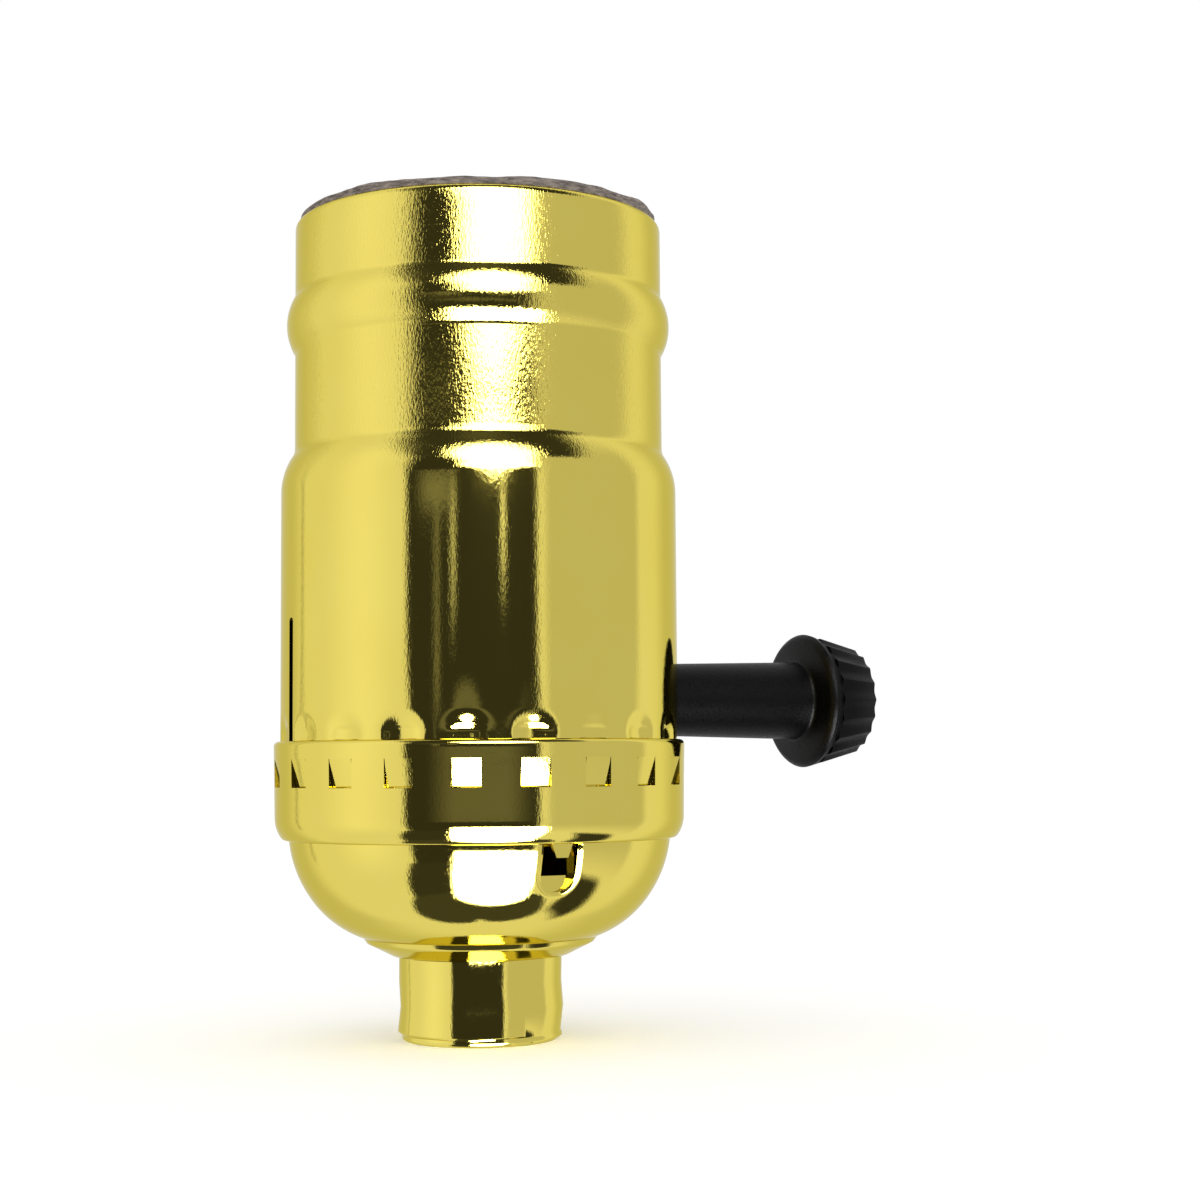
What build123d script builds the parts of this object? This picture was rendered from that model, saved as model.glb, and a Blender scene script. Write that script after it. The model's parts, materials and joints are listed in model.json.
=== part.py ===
from build123d import *
from math import cos, pi, sin, sqrt
import os

# Turn-knob lamp holder with a medium screw socket, in millimetres.
# The origin is the centre of the hub's lower mouth. +Z runs up the socket and +X along the knob.

# Sheet metal and running fits
sheet = 0.4                   # plated sheet of the cap and the shell
shell_play = 0.1              # collar over shell, radial
sleeve_play = 0.07            # shell over sleeve, radial
seat_play = 0.15              # housing foot inside shell, radial
shaft_play = 0.05             # shaft in its bearings, radial
moving_gap = 0.3              # between turning and fixed pieces
strip_play = 0.05             # contact strips in their slots
channel_play = 0.8            # neutral strap in its channel

# Hub
hub_radius = 7.63
hub_height = 7.75             # underside of the cap's seat above the hub's mouth
hub_bore_radius = 4.45        # 1/8 pipe thread at its crests
hub_spigot_radius = 6.4
hub_flare_radius = 7.5
hub_flare_height = 0.9
hub_edge_round = 0.9
hub_seat_margin = 0.5         # cap's flat seat past the hub's edge

# Cap
boss_radius = 10.45           # raised ring that is drawn round the hub
boss_rise = 1.15
boss_step_width = 0.36
boss_step_height = 0.5
dome_height = 10.65           # from the hub's seat up to the collar
dome_side_radius = 8.0        # the dome's tighter arc, under the collar
dome_side_sweep = 40
ledge_width = 0.9             # collar's inside past the dome
collar_height = 9.0
collar_foot_round = 0.9
collar_flare = 0.1            # the collar widens this much towards its edge
collar_edge_round = 0.32

# Snap tabs of the collar, and the pressed pads of the shell that they catch in
snap_count = 20
tab_width = 2.45
tab_side_gap = 0.1
window_rise = 4.85            # window's sill above the collar's foot
window_height = 2.53
tab_press = 0.5              # how far a tab's free edge is pushed in
pad_side = 0.25
pad_drop = 0.35               # pad's lower end below the window's sill
pad_rise = 2.75               # pad's upper end above the window's head
pad_clearance = 0.15
pad_corner = 0.7

# Pressed pocket in the dome
pocket_width = 3.3
pocket_drop = 4.2             # from the collar's foot down to the pocket's lower end
pocket_depth = 1.9            # at the collar's foot
pocket_window_drop = 2.8      # window's sill below the collar's foot
pocket_window_side = 0.35
pocket_tab_width = 2.0
pocket_tab_tip = 1.1
pocket_tab_length = 1.2

# Shell
barrel_radius = 18.4
neck_in = 1.25                # upper part inside the barrel, radial
crease_rise = 35.2            # shoulder's crease above the housing's seat
shoulder_radius = 6.0
upper_length = 21.7           # from the crease to the rim
bead_rise = 12.05             # bead's middle above the crease
bead_half_width = 2.65
bead_height = 0.77
rim_round = 0.25
foot_gap = 0.4                # shell's lower edge above the housing's seat
slit_rise = 19.25             # slit's upper end above the housing's seat
slit_top_width = 0.8
slit_foot_width = 1.1
notch_play = 0.67             # shell's notch round the knob's stem

# Insulating sleeve
sleeve_wall = 0.6
sleeve_stand = 1.0            # sleeve's edge above the shell's rim

# Switch housing and socket base
housing_play = 0.58           # housing inside the sleeve, radial
foot_height = 3.2
housing_height = 21.2
base_height = 4.4
spigot_depth = 1.0            # base's spigot in the housing's cavity
shaft_rise = 12.5             # shaft's axis above the housing's seat
cavity_floor_rise = 4.6
cavity_half_width = 5.6
cavity_back = 10.0            # behind the lamp's axis
cavity_front = 6.2            # in front of it
terminal_pad_depth = 3.5      # flats under the terminals, cut into the housing's side
terminal_pad_half = 4.2
terminal_pad_height = 11.7
disc_thickness = 0.8
disc_margin = 0.6             # disc's edge inside the dome

# Rivets that hold the stack together
rivet_x = 5.2
rivet_y = 8.2
rivet_radius = 1.2
rivet_head_radius = 1.9
rivet_head_height = 0.8

# Screw shell, a rolled medium lamp thread
thread_pitch = 3.629
thread_crest_radius = 12.55   # inside the lands
thread_depth = 0.75
thread_wall = 0.35
thread_half_width = 1.3
thread_land = 0.35            # flat on the thread's top, as a share of its half width
thread_turns = 5
thread_start_rise = 6.5       # first groove above the screw shell's floor
thread_sink = 0.15            # flanks run on this far into the wall
thread_lag = 6                # groove ends this many degrees inside the ridge
thread_end_drop = 4.15        # end of the last ridge below the lip's edge
screw_shell_mouth_radius = 5.9
cup_foot_in = 0.55            # screw shell's foot is drawn this much narrower than its lands
cup_foot_height = 3.2
lip_flare = 0.5

# Contacts
contact_sheet = 0.5
leaf_sheet = 0.4
leaf_width = 3.0
leaf_gap = 0.1                # leaf to the rotor's flat
tongue_width = 4.4
tongue_rise = 3.9             # tip of the centre contact above its foot
recess_radius = 5.6
recess_depth = 1.2
centre_rivet_radius = 0.9
centre_rivet_head = 1.6
rivet_margin = 0.4            # strip past a rivet's head

# Terminal screws
screw_radius = 1.5
screw_head_radius = 3.0
screw_head_height = 1.7
screw_reach = 3.6             # shank behind the plate
screw_slot = 0.8
terminal_rise = 7.6           # screws above the housing's seat

# Shaft, rotor and knob
shaft_radius = 2.0
pivot_radius = 1.2
pivot_length = 2.2
shaft_flat = 1.5              # from the axis to the driving flat
shaft_end = 30.0
bush_wall = 1.05
bush_flange_radius = 4.2
bush_flange_height = 0.8
bush_spot_depth = 0.3
rotor_flat = 4.0              # half across the flats
rotor_corner_radius = 5.0
rotor_core_radius = 3.4
rotor_collar_radius = 4.6
rotor_collar_width = 1.0
cam_width = 4.4
contact_block_width = 5.2
bridge_width = 3.0
bridge_sheet = 1.6
bridge_ring_radius = 3.2
bridge_hole_radius = 2.5
spring_foot = 1.0             # flat foot of the detent spring
stem_root_radius = 3.43
stem_head_radius = 3.85
head_back = 34.4              # back of the knob's head
head_radius = 6.65
head_rim_width = 1.3
head_round = 0.5
head_dish = 0.25              # the head's back leans this much
head_draft = 0.1
groove_width = 0.5
groove_depth = 0.45
flute_root_radius = 6.5       # crests of the flutes beside the groove
flute_end_radius = 5.35
flute_count = 20
flute_depth = 0.32
knob_end = 40.6
insert_wall = 0.8
insert_length = 11.0

# Heights that follow from the sizes above
foot_z = hub_height + dome_height            # underside of the collar's foot
seat_z = foot_z + sheet                      # the housing stands on this ledge
collar_top = foot_z + collar_height
window_sill = foot_z + window_rise
window_head = window_sill + window_height
shell_foot = seat_z + foot_gap
crease_z = seat_z + crease_rise
bead_z = crease_z + bead_rise
shell_top = crease_z + upper_length
sleeve_foot = seat_z + foot_height
sleeve_top = shell_top + sleeve_stand
base_z = seat_z + housing_height
base_top = base_z + base_height
shaft_z = seat_z + shaft_rise
cavity_floor = seat_z + cavity_floor_rise
terminal_z = seat_z + terminal_rise
recess_z = base_top - recess_depth

# Radii that follow
upper_radius = barrel_radius - neck_in
collar_inside = barrel_radius + shell_play
collar_radius = collar_inside + sheet
dome_radius = collar_radius - sheet - ledge_width
cap_seat_radius = hub_radius + hub_seat_margin
sleeve_radius = upper_radius - sheet - sleeve_play
housing_radius = sleeve_radius - sleeve_wall - housing_play
terminal_flat = housing_radius - terminal_pad_depth
foot_radius = barrel_radius - sheet - seat_play
bush_radius = shaft_radius + shaft_play + bush_wall
bush_face = housing_radius - bush_spot_depth
stem_start = bush_face + bush_flange_height + moving_gap
snap_start = 180 / snap_count                # first window beside the knob's axis, in degrees

os.makedirs("parts", exist_ok=True)


def strip_fold(foot_start, foot_end, foot_height_z, leaf_end, leaf_height_z, thickness):
    """Outline a leaf spring from the side: a flat foot, a half-round fold and a leaf that runs back over it.

    Both heights are those of the strip's outer faces, and the fold lies past foot_end.
    """
    rising = 1 if leaf_height_z > foot_height_z else -1
    fold_radius = abs(leaf_height_z - foot_height_z) / 2
    inner_radius = fold_radius - thickness
    middle = (foot_height_z + leaf_height_z) / 2
    with BuildLine() as outline:
        Line((foot_start, foot_height_z), (foot_end, foot_height_z))
        ThreePointArc(
            (foot_end, foot_height_z), (foot_end + fold_radius, middle), (foot_end, leaf_height_z)
        )
        Line((foot_end, leaf_height_z), (leaf_end, leaf_height_z))
        Line((leaf_end, leaf_height_z), (leaf_end, leaf_height_z - rising * thickness))
        Line((leaf_end, leaf_height_z - rising * thickness), (foot_end, leaf_height_z - rising * thickness))
        ThreePointArc(
            (foot_end, middle + rising * inner_radius),
            (foot_end + inner_radius, middle),
            (foot_end, middle - rising * inner_radius),
        )
        Line((foot_end, foot_height_z + rising * thickness), (foot_start, foot_height_z + rising * thickness))
        Line((foot_start, foot_height_z + rising * thickness), (foot_start, foot_height_z))
    return outline.edges()


def rivet_section(bottom, top, radius, head_radius, head_height):
    """Outline half of a rivet that clamps what lies between bottom and top."""
    with BuildLine() as outline:
        Line((0, bottom - head_height), (0, top + head_height))
        TangentArc((0, top + head_height), (head_radius, top), tangent=(1, 0))
        Line((head_radius, top), (radius, top))
        Line((radius, top), (radius, bottom))
        Line((radius, bottom), (head_radius, bottom))
        TangentArc((0, bottom - head_height), (head_radius, bottom), tangent=(1, 0))
    return outline.edges()


# Hub: a turned bush whose spigot is flared over inside the cap
with BuildPart() as hub:
    with BuildSketch():
        Circle(hub_radius)
    extrude(amount=hub_height)
    fillet(hub.edges().group_by(Axis.Z)[0], hub_edge_round)
    with BuildSketch(Plane.XY.offset(hub_height)):
        Circle(hub_spigot_radius)
    extrude(amount=sheet + hub_flare_height)
    with BuildSketch(Plane.XY.offset(hub_height + sheet)):
        Circle(hub_flare_radius)
    extrude(amount=hub_flare_height)
    chamfer(hub.edges().group_by(Axis.Z)[-1], hub_flare_height / 2)
    with BuildSketch():
        Circle(hub_bore_radius)
    extrude(amount=hub_height + sheet + hub_flare_height, mode=Mode.SUBTRACT)
hub.part.label = "hub"
export_step(hub.part, "parts/hub.step")

# Cap: one drawn sheet, from the hub's seat over the dome to the collar
dome_foot = (boss_radius + boss_step_width, hub_height + boss_rise + boss_step_height)
with BuildSketch(Plane.XZ) as cap_section:
    with BuildLine():
        Line((hub_spigot_radius, hub_height), (cap_seat_radius, hub_height))
        Line((cap_seat_radius, hub_height), (boss_radius, hub_height + boss_rise))
        Line((boss_radius, hub_height + boss_rise), dome_foot)
        dome_side = JernArc((dome_radius, foot_z), (0, -1), dome_side_radius, -dome_side_sweep)
        TangentArc(dome_side @ 1, dome_foot, tangent=dome_side % 1)
        ledge = Line(dome_side @ 0, (collar_radius - collar_foot_round, foot_z))
        collar_foot = RadiusArc(
            ledge @ 1, (collar_radius, foot_z + collar_foot_round), -collar_foot_round
        )
        Line(collar_foot @ 1, (collar_radius + collar_flare, collar_top))
        offset(amount=sheet, side=Side.LEFT)
    make_face()
with BuildSketch(Plane.XZ) as dome_core_section:
    with BuildLine():
        core_side = JernArc((dome_radius, foot_z), (0, -1), dome_side_radius, -dome_side_sweep)
        core_floor = TangentArc(core_side @ 1, dome_foot, tangent=core_side % 1)
        Line(core_floor @ 1, (0, dome_foot[1]))
        Line((0, dome_foot[1]), (0, foot_z))
        Line((0, foot_z), core_side @ 0)
    make_face()

# Pocket: a pressed cup in the dome, with a window in its floor and a tab that hangs over it
pocket_middle_z = foot_z - pocket_drop + pocket_width / 2
pocket_floor = dome_radius - pocket_depth
with BuildSketch(Plane.XZ.offset(pocket_floor)) as pocket_outline:
    with Locations((0, (foot_z + pocket_middle_z) / 2)):
        Rectangle(pocket_width, foot_z - pocket_middle_z)
    with Locations((0, pocket_middle_z)):
        Circle(pocket_width / 2)
with BuildSketch(Plane.XZ.offset(pocket_floor - sheet)) as pocket_shell_outline:
    with Locations((0, (foot_z + pocket_middle_z) / 2)):
        Rectangle(pocket_width + 2 * sheet, foot_z - pocket_middle_z)
    with Locations((0, pocket_middle_z)):
        Circle(pocket_width / 2 + sheet)
with BuildSketch(Plane.XZ.offset(pocket_floor - 2 * sheet)) as pocket_window:
    window_middle_z = foot_z - (pocket_window_drop + sheet) / 2
    with Locations((0, window_middle_z)):
        Rectangle(pocket_width - 2 * pocket_window_side, pocket_window_drop - sheet)
with BuildSketch(Plane.XZ.offset(pocket_floor)) as pocket_tab_outline:
    with BuildLine():
        Polyline(
            (-pocket_tab_width / 2, foot_z),
            (pocket_tab_width / 2, foot_z),
            (pocket_tab_tip / 2, foot_z - pocket_tab_length),
            (-pocket_tab_tip / 2, foot_z - pocket_tab_length),
            close=True,
        )
    make_face()
with BuildPart() as pocket_tab:
    add(revolve(cap_section.sketch, axis=Axis.Z, mode=Mode.PRIVATE))
    extrude(pocket_tab_outline.sketch, amount=pocket_depth + sheet, mode=Mode.INTERSECT)
with BuildPart() as pocket_cup:
    add(revolve(dome_core_section.sketch, axis=Axis.Z, mode=Mode.PRIVATE))
    extrude(pocket_shell_outline.sketch, amount=pocket_depth + 2 * sheet, mode=Mode.INTERSECT)
    extrude(pocket_outline.sketch, amount=pocket_depth + sheet, mode=Mode.SUBTRACT)

# Snap tab: lanced out of the collar, hinged at its top, with its lower edge pushed in
tab_face = collar_inside + sheet
with BuildPart() as snap_tab:
    with BuildSketch(Plane.XZ):
        with BuildLine():
            Polyline(
                (collar_inside + sheet / 4, window_head + sheet),
                (tab_face - sheet / 4, window_head + sheet),
                (tab_face, window_head),
                (tab_face - tab_press, window_sill + tab_side_gap),
                (collar_inside - tab_press, window_sill + tab_side_gap),
                (collar_inside, window_head),
                close=True,
            )
        make_face()
    extrude(amount=tab_width / 2, both=True)
with BuildPart() as snap_window:
    with BuildSketch(Plane.YZ.offset(collar_inside - 2 * sheet)):
        with Locations((0, (window_sill + window_head) / 2)):
            Rectangle(tab_width + 2 * tab_side_gap, window_height)
    extrude(amount=4 * sheet)

with BuildPart() as cap:
    revolve(cap_section.sketch, axis=Axis.Z)
    fillet(cap.edges().group_by(Axis.Z)[-1].sort_by(SortBy.LENGTH)[-1], collar_edge_round)
    extrude(pocket_outline.sketch, amount=pocket_depth + sheet, mode=Mode.SUBTRACT)
    add(pocket_cup.part)
    extrude(pocket_window.sketch, amount=3 * sheet, mode=Mode.SUBTRACT)
    add(pocket_tab.part)
    with PolarLocations(0, snap_count, start_angle=snap_start):
        add(snap_window.part, mode=Mode.SUBTRACT)
        add(snap_tab.part)
cap.part.label = "cap"
export_step(cap.part, "parts/cap.step")

# Shell: one drawn sheet with a shoulder, a rolled bead and pressed pads near its foot
shoulder_drop = sqrt(shoulder_radius**2 - (shoulder_radius - barrel_radius + upper_radius) ** 2)
pad_floor = collar_inside - tab_press - pad_clearance
pad_low = window_sill - pad_drop
pad_high = window_head + pad_rise
pad_width = tab_width + 2 * tab_side_gap + 2 * pad_side
with BuildSketch(Plane.XZ) as shell_section:
    with BuildLine():
        barrel = Line((barrel_radius, shell_foot), (barrel_radius, crease_z - shoulder_drop))
        shoulder = RadiusArc(barrel @ 1, (upper_radius, crease_z), -shoulder_radius)
        waist = Line(shoulder @ 1, (upper_radius, bead_z - bead_half_width))
        bead = ThreePointArc(
            waist @ 1,
            (upper_radius + bead_height, bead_z),
            (upper_radius, bead_z + bead_half_width),
        )
        Line(bead @ 1, (upper_radius, shell_top))
        offset(amount=sheet, side=Side.LEFT)
    make_face()
with BuildPart() as pad_backing:
    with BuildSketch(Plane.YZ.offset(pad_floor - sheet)):
        with Locations((0, (pad_low + pad_high) / 2)):
            RectangleRounded(
                pad_width + 2 * sheet, pad_high - pad_low + 2 * sheet, pad_corner + sheet
            )
    extrude(amount=barrel_radius - sheet / 2 - pad_floor + sheet)
with BuildPart() as pad_hollow:
    with BuildSketch(Plane.YZ.offset(pad_floor)):
        with Locations((0, (pad_low + pad_high) / 2)):
            RectangleRounded(pad_width, pad_high - pad_low, pad_corner)
    extrude(amount=barrel_radius + sheet - pad_floor)
notch_radius = stem_root_radius + notch_play
with BuildSketch(Plane.YZ) as shell_notch:
    with Locations((0, shaft_z)):
        Circle(notch_radius)
    with Locations((0, (shaft_z + seat_z) / 2)):
        Rectangle(2 * notch_radius, shaft_z - seat_z)
with BuildSketch(Plane.YZ) as shell_slit:
    with BuildLine():
        slit_left = Line((-slit_foot_width / 2, seat_z), (-slit_top_width / 2, seat_z + slit_rise))
        ThreePointArc(
            slit_left @ 1,
            (0, seat_z + slit_rise + slit_top_width / 2),
            (slit_top_width / 2, seat_z + slit_rise),
        )
        Line((slit_top_width / 2, seat_z + slit_rise), (slit_foot_width / 2, seat_z))
        Line((slit_foot_width / 2, seat_z), slit_left @ 0)
    make_face()
with BuildPart() as shell:
    revolve(shell_section.sketch, axis=Axis.Z)
    fillet(shell.edges().group_by(Axis.Z)[-1].sort_by(SortBy.LENGTH)[-1], rim_round)
    with PolarLocations(0, snap_count, start_angle=snap_start):
        add(pad_backing.part)
        add(pad_hollow.part, mode=Mode.SUBTRACT)
    extrude(shell_notch.sketch, amount=2 * barrel_radius, mode=Mode.SUBTRACT)
    extrude(shell_slit.sketch, amount=-2 * barrel_radius, mode=Mode.SUBTRACT)
shell.part.label = "shell"
export_step(shell.part, "parts/shell.step")

# Insulating sleeve: rolled fibre that stands on the housing's foot and just clears the shell's rim
sleeve_notch_radius = bush_flange_radius + moving_gap
with BuildPart() as insulating_sleeve:
    with BuildSketch(Plane.XY.offset(sleeve_foot)):
        Circle(sleeve_radius)
        Circle(sleeve_radius - sleeve_wall, mode=Mode.SUBTRACT)
    extrude(amount=sleeve_top - sleeve_foot)
    with BuildSketch(Plane.YZ):
        with Locations((0, shaft_z)):
            Circle(sleeve_notch_radius)
        with Locations((0, (shaft_z + seat_z) / 2)):
            Rectangle(2 * sleeve_notch_radius, shaft_z - seat_z)
    extrude(amount=2 * sleeve_radius, mode=Mode.SUBTRACT)
insulating_sleeve.part.label = "insulating_sleeve"
export_step(insulating_sleeve.part, "parts/insulating_sleeve.step")

# Screw shell: a drawn cup with a rolled thread, a hole for the centre contact and a flared lip
thread_outside = thread_crest_radius + thread_wall
ridge_z = base_top + thread_start_rise
groove_z = ridge_z + thread_pitch * thread_lag / 360
lip_top = ridge_z + thread_turns * thread_pitch + thread_end_drop
cup_corner = 2 * thread_wall
with BuildLine() as ridge_path:
    Helix(thread_pitch, thread_turns * thread_pitch, thread_outside, center=(0, 0, ridge_z))
with BuildLine() as groove_path:
    groove_turns = thread_turns - 2 * thread_lag / 360
    Helix(thread_pitch, groove_turns * thread_pitch, thread_crest_radius, center=(0, 0, groove_z))


def thread_profile(wall_radius, middle_z, half_width):
    """Outline one turn of the rolled thread, whose flanks run on into the wall."""
    with BuildLine() as outline:
        Polyline(
            (wall_radius - thread_sink, middle_z - half_width - thread_sink / 2),
            (wall_radius + thread_depth, middle_z - thread_land * half_width),
            (wall_radius + thread_depth, middle_z + thread_land * half_width),
            (wall_radius - thread_sink, middle_z + half_width + thread_sink / 2),
            close=True,
        )
    return outline.edges()


def cup_profile(radius, floor_z, corner):
    """Outline half of a cup, filled from the axis, with a narrower foot and its lip flared."""
    foot = radius - cup_foot_in
    with BuildLine() as outline:
        floor = Line((0, floor_z), (foot - corner, floor_z))
        bend = RadiusArc(floor @ 1, (foot, floor_z + corner), -corner)
        foot_wall = Line(bend @ 1, (foot, base_top + cup_foot_height))
        step = Line(foot_wall @ 1, (radius, base_top + cup_foot_height + cup_foot_in))
        wall = Line(step @ 1, (radius, lip_top - 2 * lip_flare))
        lip = Line(wall @ 1, (radius + lip_flare, lip_top))
        Line(lip @ 1, (0, lip_top))
        Line((0, lip_top), floor @ 0)
    return outline.edges()


with BuildPart() as thread_groove:
    with BuildSketch(Plane.XZ):
        make_face(thread_profile(thread_crest_radius, groove_z, thread_half_width - thread_wall / 2))
    sweep(path=groove_path.line, is_frenet=True)
with BuildPart() as screw_shell:
    with BuildSketch(Plane.XZ):
        make_face(cup_profile(thread_outside, base_top, cup_corner))
    revolve(axis=Axis.Z)
    with BuildSketch(Plane.XZ):
        make_face(thread_profile(thread_outside, ridge_z, thread_half_width))
    sweep(path=ridge_path.line, is_frenet=True)
    with BuildSketch(Plane.XZ):
        make_face(
            cup_profile(thread_crest_radius, base_top + thread_wall, cup_corner - thread_wall)
        )
    revolve(axis=Axis.Z, mode=Mode.SUBTRACT)
    add(thread_groove.part, rotation=(0, 0, thread_lag), mode=Mode.SUBTRACT)
    with BuildSketch(Plane.XY.offset(base_top)):
        Circle(screw_shell_mouth_radius)
        with Locations((-rivet_x, -rivet_y), (rivet_x, rivet_y)):
            Circle(rivet_radius)
    extrude(amount=2 * thread_wall, mode=Mode.SUBTRACT)
screw_shell.part.label = "screw_shell"
export_step(screw_shell.part, "parts/screw_shell.step")

# Switch housing: moulded block on a wide foot, with the rotor's cavity open at the top
strip_slot = leaf_width + 2 * strip_play
strap_channel = leaf_width + 2 * channel_play
with BuildPart() as switch_housing:
    with BuildSketch(Plane.XY.offset(seat_z)):
        Circle(foot_radius)
    extrude(amount=foot_height)
    with BuildSketch(Plane.XY.offset(seat_z)):
        Circle(housing_radius)
    extrude(amount=housing_height)
    with BuildSketch(Plane.XY.offset(cavity_floor)):
        with Locations(((cavity_front - cavity_back) / 2, 0)):
            Rectangle(cavity_front + cavity_back, 2 * cavity_half_width)
    extrude(amount=base_z - cavity_floor, mode=Mode.SUBTRACT)
    with BuildSketch(Plane.XY.offset(seat_z)):
        with Locations((0, terminal_flat + foot_radius / 2), (0, -terminal_flat - foot_radius / 2)):
            Rectangle(2 * terminal_pad_half, foot_radius)
    extrude(amount=terminal_pad_height, mode=Mode.SUBTRACT)
    with BuildSketch(Plane.XY.offset(seat_z)):
        with Locations((0, terminal_flat + foot_radius / 2)):
            Rectangle(strap_channel, foot_radius)
    extrude(amount=housing_height, mode=Mode.SUBTRACT)
    with BuildSketch(Plane.YZ.offset(cavity_front)):
        with Locations((0, shaft_z)):
            Circle(bush_radius)
    extrude(amount=housing_radius, mode=Mode.SUBTRACT)
    with BuildSketch(Plane.YZ.offset(bush_face)):
        with Locations((0, shaft_z)):
            Circle(bush_flange_radius + moving_gap)
    extrude(amount=housing_radius, mode=Mode.SUBTRACT)
    with BuildSketch(Plane.YZ.offset(-cavity_back)):
        with Locations((0, shaft_z)):
            Circle(pivot_radius + shaft_play)
    extrude(amount=-pivot_length - moving_gap, mode=Mode.SUBTRACT)
    with BuildSketch(Plane.XZ):
        with Locations((0, cavity_floor + contact_sheet / 2)):
            Rectangle(strip_slot, contact_sheet)
    extrude(amount=housing_radius, mode=Mode.SUBTRACT)
    with BuildSketch(Plane.XZ.offset(-housing_radius)):
        with Locations((0, terminal_z)):
            Circle(screw_radius + strip_play)
    extrude(amount=housing_radius - terminal_flat + screw_reach + moving_gap, mode=Mode.SUBTRACT)
    with BuildSketch(Plane.XZ.offset(housing_radius)):
        with Locations((0, terminal_z)):
            Circle(screw_radius + strip_play)
    extrude(amount=terminal_flat - housing_radius - screw_reach - moving_gap, mode=Mode.SUBTRACT)
    with BuildSketch(Plane.XY.offset(seat_z)):
        with Locations((-rivet_x, -rivet_y), (rivet_x, rivet_y)):
            Circle(rivet_radius)
    extrude(amount=housing_height, mode=Mode.SUBTRACT)
switch_housing.part.label = "switch_housing"
export_step(switch_housing.part, "parts/switch_housing.step")

# Socket base: moulded disc that closes the cavity and carries the screw shell
with BuildPart() as socket_base:
    with BuildSketch(Plane.XY.offset(base_z)):
        Circle(housing_radius)
    extrude(amount=base_height)
    with BuildSketch(Plane.XY.offset(base_z - spigot_depth)):
        with Locations(((cavity_front - cavity_back) / 2, 0)):
            Rectangle(
                cavity_front + cavity_back - 2 * seat_play, 2 * cavity_half_width - 2 * seat_play
            )
    extrude(amount=spigot_depth)
    with BuildSketch(Plane.XY.offset(recess_z)):
        Circle(recess_radius)
    extrude(amount=recess_depth, mode=Mode.SUBTRACT)
    with BuildSketch(Plane.XY.offset(base_z)):
        with Locations((0, terminal_flat + housing_radius / 2)):
            Rectangle(strap_channel, housing_radius)
    extrude(amount=base_height, mode=Mode.SUBTRACT)
    with BuildSketch(Plane.XY.offset(base_top - contact_sheet)):
        with Locations((0, (terminal_flat + recess_radius + moving_gap) / 2)):
            Rectangle(strap_channel, terminal_flat - recess_radius - moving_gap)
    extrude(amount=contact_sheet, mode=Mode.SUBTRACT)
    with BuildSketch(Plane.XY.offset(base_z)):
        with Locations((-rivet_x, -rivet_y), (rivet_x, rivet_y)):
            Circle(rivet_radius)
    extrude(amount=base_height, mode=Mode.SUBTRACT)
    with BuildSketch(Plane.XY.offset(base_z - spigot_depth)):
        Circle(centre_rivet_radius)
    extrude(amount=base_height, mode=Mode.SUBTRACT)
socket_base.part.label = "socket_base"
export_step(socket_base.part, "parts/socket_base.step")

# Insulating disc: fibre washer under the housing, notched where the wires rise to the terminals
disc_radius = dome_radius - sheet - disc_margin
with BuildPart() as insulating_disc:
    with BuildSketch(Plane.XY.offset(seat_z - disc_thickness)):
        Circle(disc_radius)
        with Locations((0, terminal_flat + disc_radius / 2), (0, -terminal_flat - disc_radius / 2)):
            Rectangle(2 * terminal_pad_half, disc_radius, mode=Mode.SUBTRACT)
        with Locations((-rivet_x, -rivet_y), (rivet_x, rivet_y)):
            Circle(rivet_radius, mode=Mode.SUBTRACT)
    extrude(amount=disc_thickness)
insulating_disc.part.label = "insulating_disc"
export_step(insulating_disc.part, "parts/insulating_disc.step")

# Assembly rivets: through the disc, the housing, the base and the screw shell's floor
with BuildPart() as stack_rivet:
    with BuildSketch(Plane.XZ):
        make_face(
            rivet_section(
                seat_z - disc_thickness,
                base_top + thread_wall,
                rivet_radius,
                rivet_head_radius,
                rivet_head_height,
            )
        )
    revolve(axis=Axis.Z)
with BuildPart() as assembly_rivets:
    with Locations((-rivet_x, -rivet_y, 0), (rivet_x, rivet_y, 0)):
        add(stack_rivet.part)
assembly_rivets.part.label = "assembly_rivets"
export_step(assembly_rivets.part, "parts/assembly_rivets.step")

# Centre contact: a folded brass tongue in the base's recess
tongue_foot = recess_radius - tongue_rise / 2 - moving_gap - rivet_margin
with BuildPart() as centre_contact:
    with BuildSketch(Plane.YZ):
        make_face(
            strip_fold(
                -centre_rivet_head - rivet_margin,
                tongue_foot,
                recess_z,
                -centre_rivet_head,
                recess_z + tongue_rise,
                leaf_sheet,
            )
        )
    extrude(amount=tongue_width / 2, both=True)
    with BuildSketch(Plane.XY.offset(recess_z)):
        Circle(centre_rivet_radius)
    extrude(amount=leaf_sheet, mode=Mode.SUBTRACT)
centre_contact.part.label = "centre_contact"
export_step(centre_contact.part, "parts/centre_contact.step")

# Load contact: leaf under the base, over the rotor, riveted to the centre contact
spigot_face = base_z - spigot_depth
with BuildPart() as load_contact:
    with BuildSketch(Plane.YZ):
        make_face(
            strip_fold(
                -centre_rivet_head - rivet_margin,
                cavity_half_width - (spigot_face - shaft_z - rotor_flat) / 2 - 2 * moving_gap,
                spigot_face,
                -leaf_width / 2,
                shaft_z + rotor_flat + leaf_gap,
                leaf_sheet,
            )
        )
    extrude(amount=leaf_width / 2, both=True)
    with BuildSketch(Plane.XY.offset(spigot_face - leaf_sheet)):
        Circle(centre_rivet_radius)
    extrude(amount=leaf_sheet, mode=Mode.SUBTRACT)
load_contact.part.label = "load_contact"
export_step(load_contact.part, "parts/load_contact.step")

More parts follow.
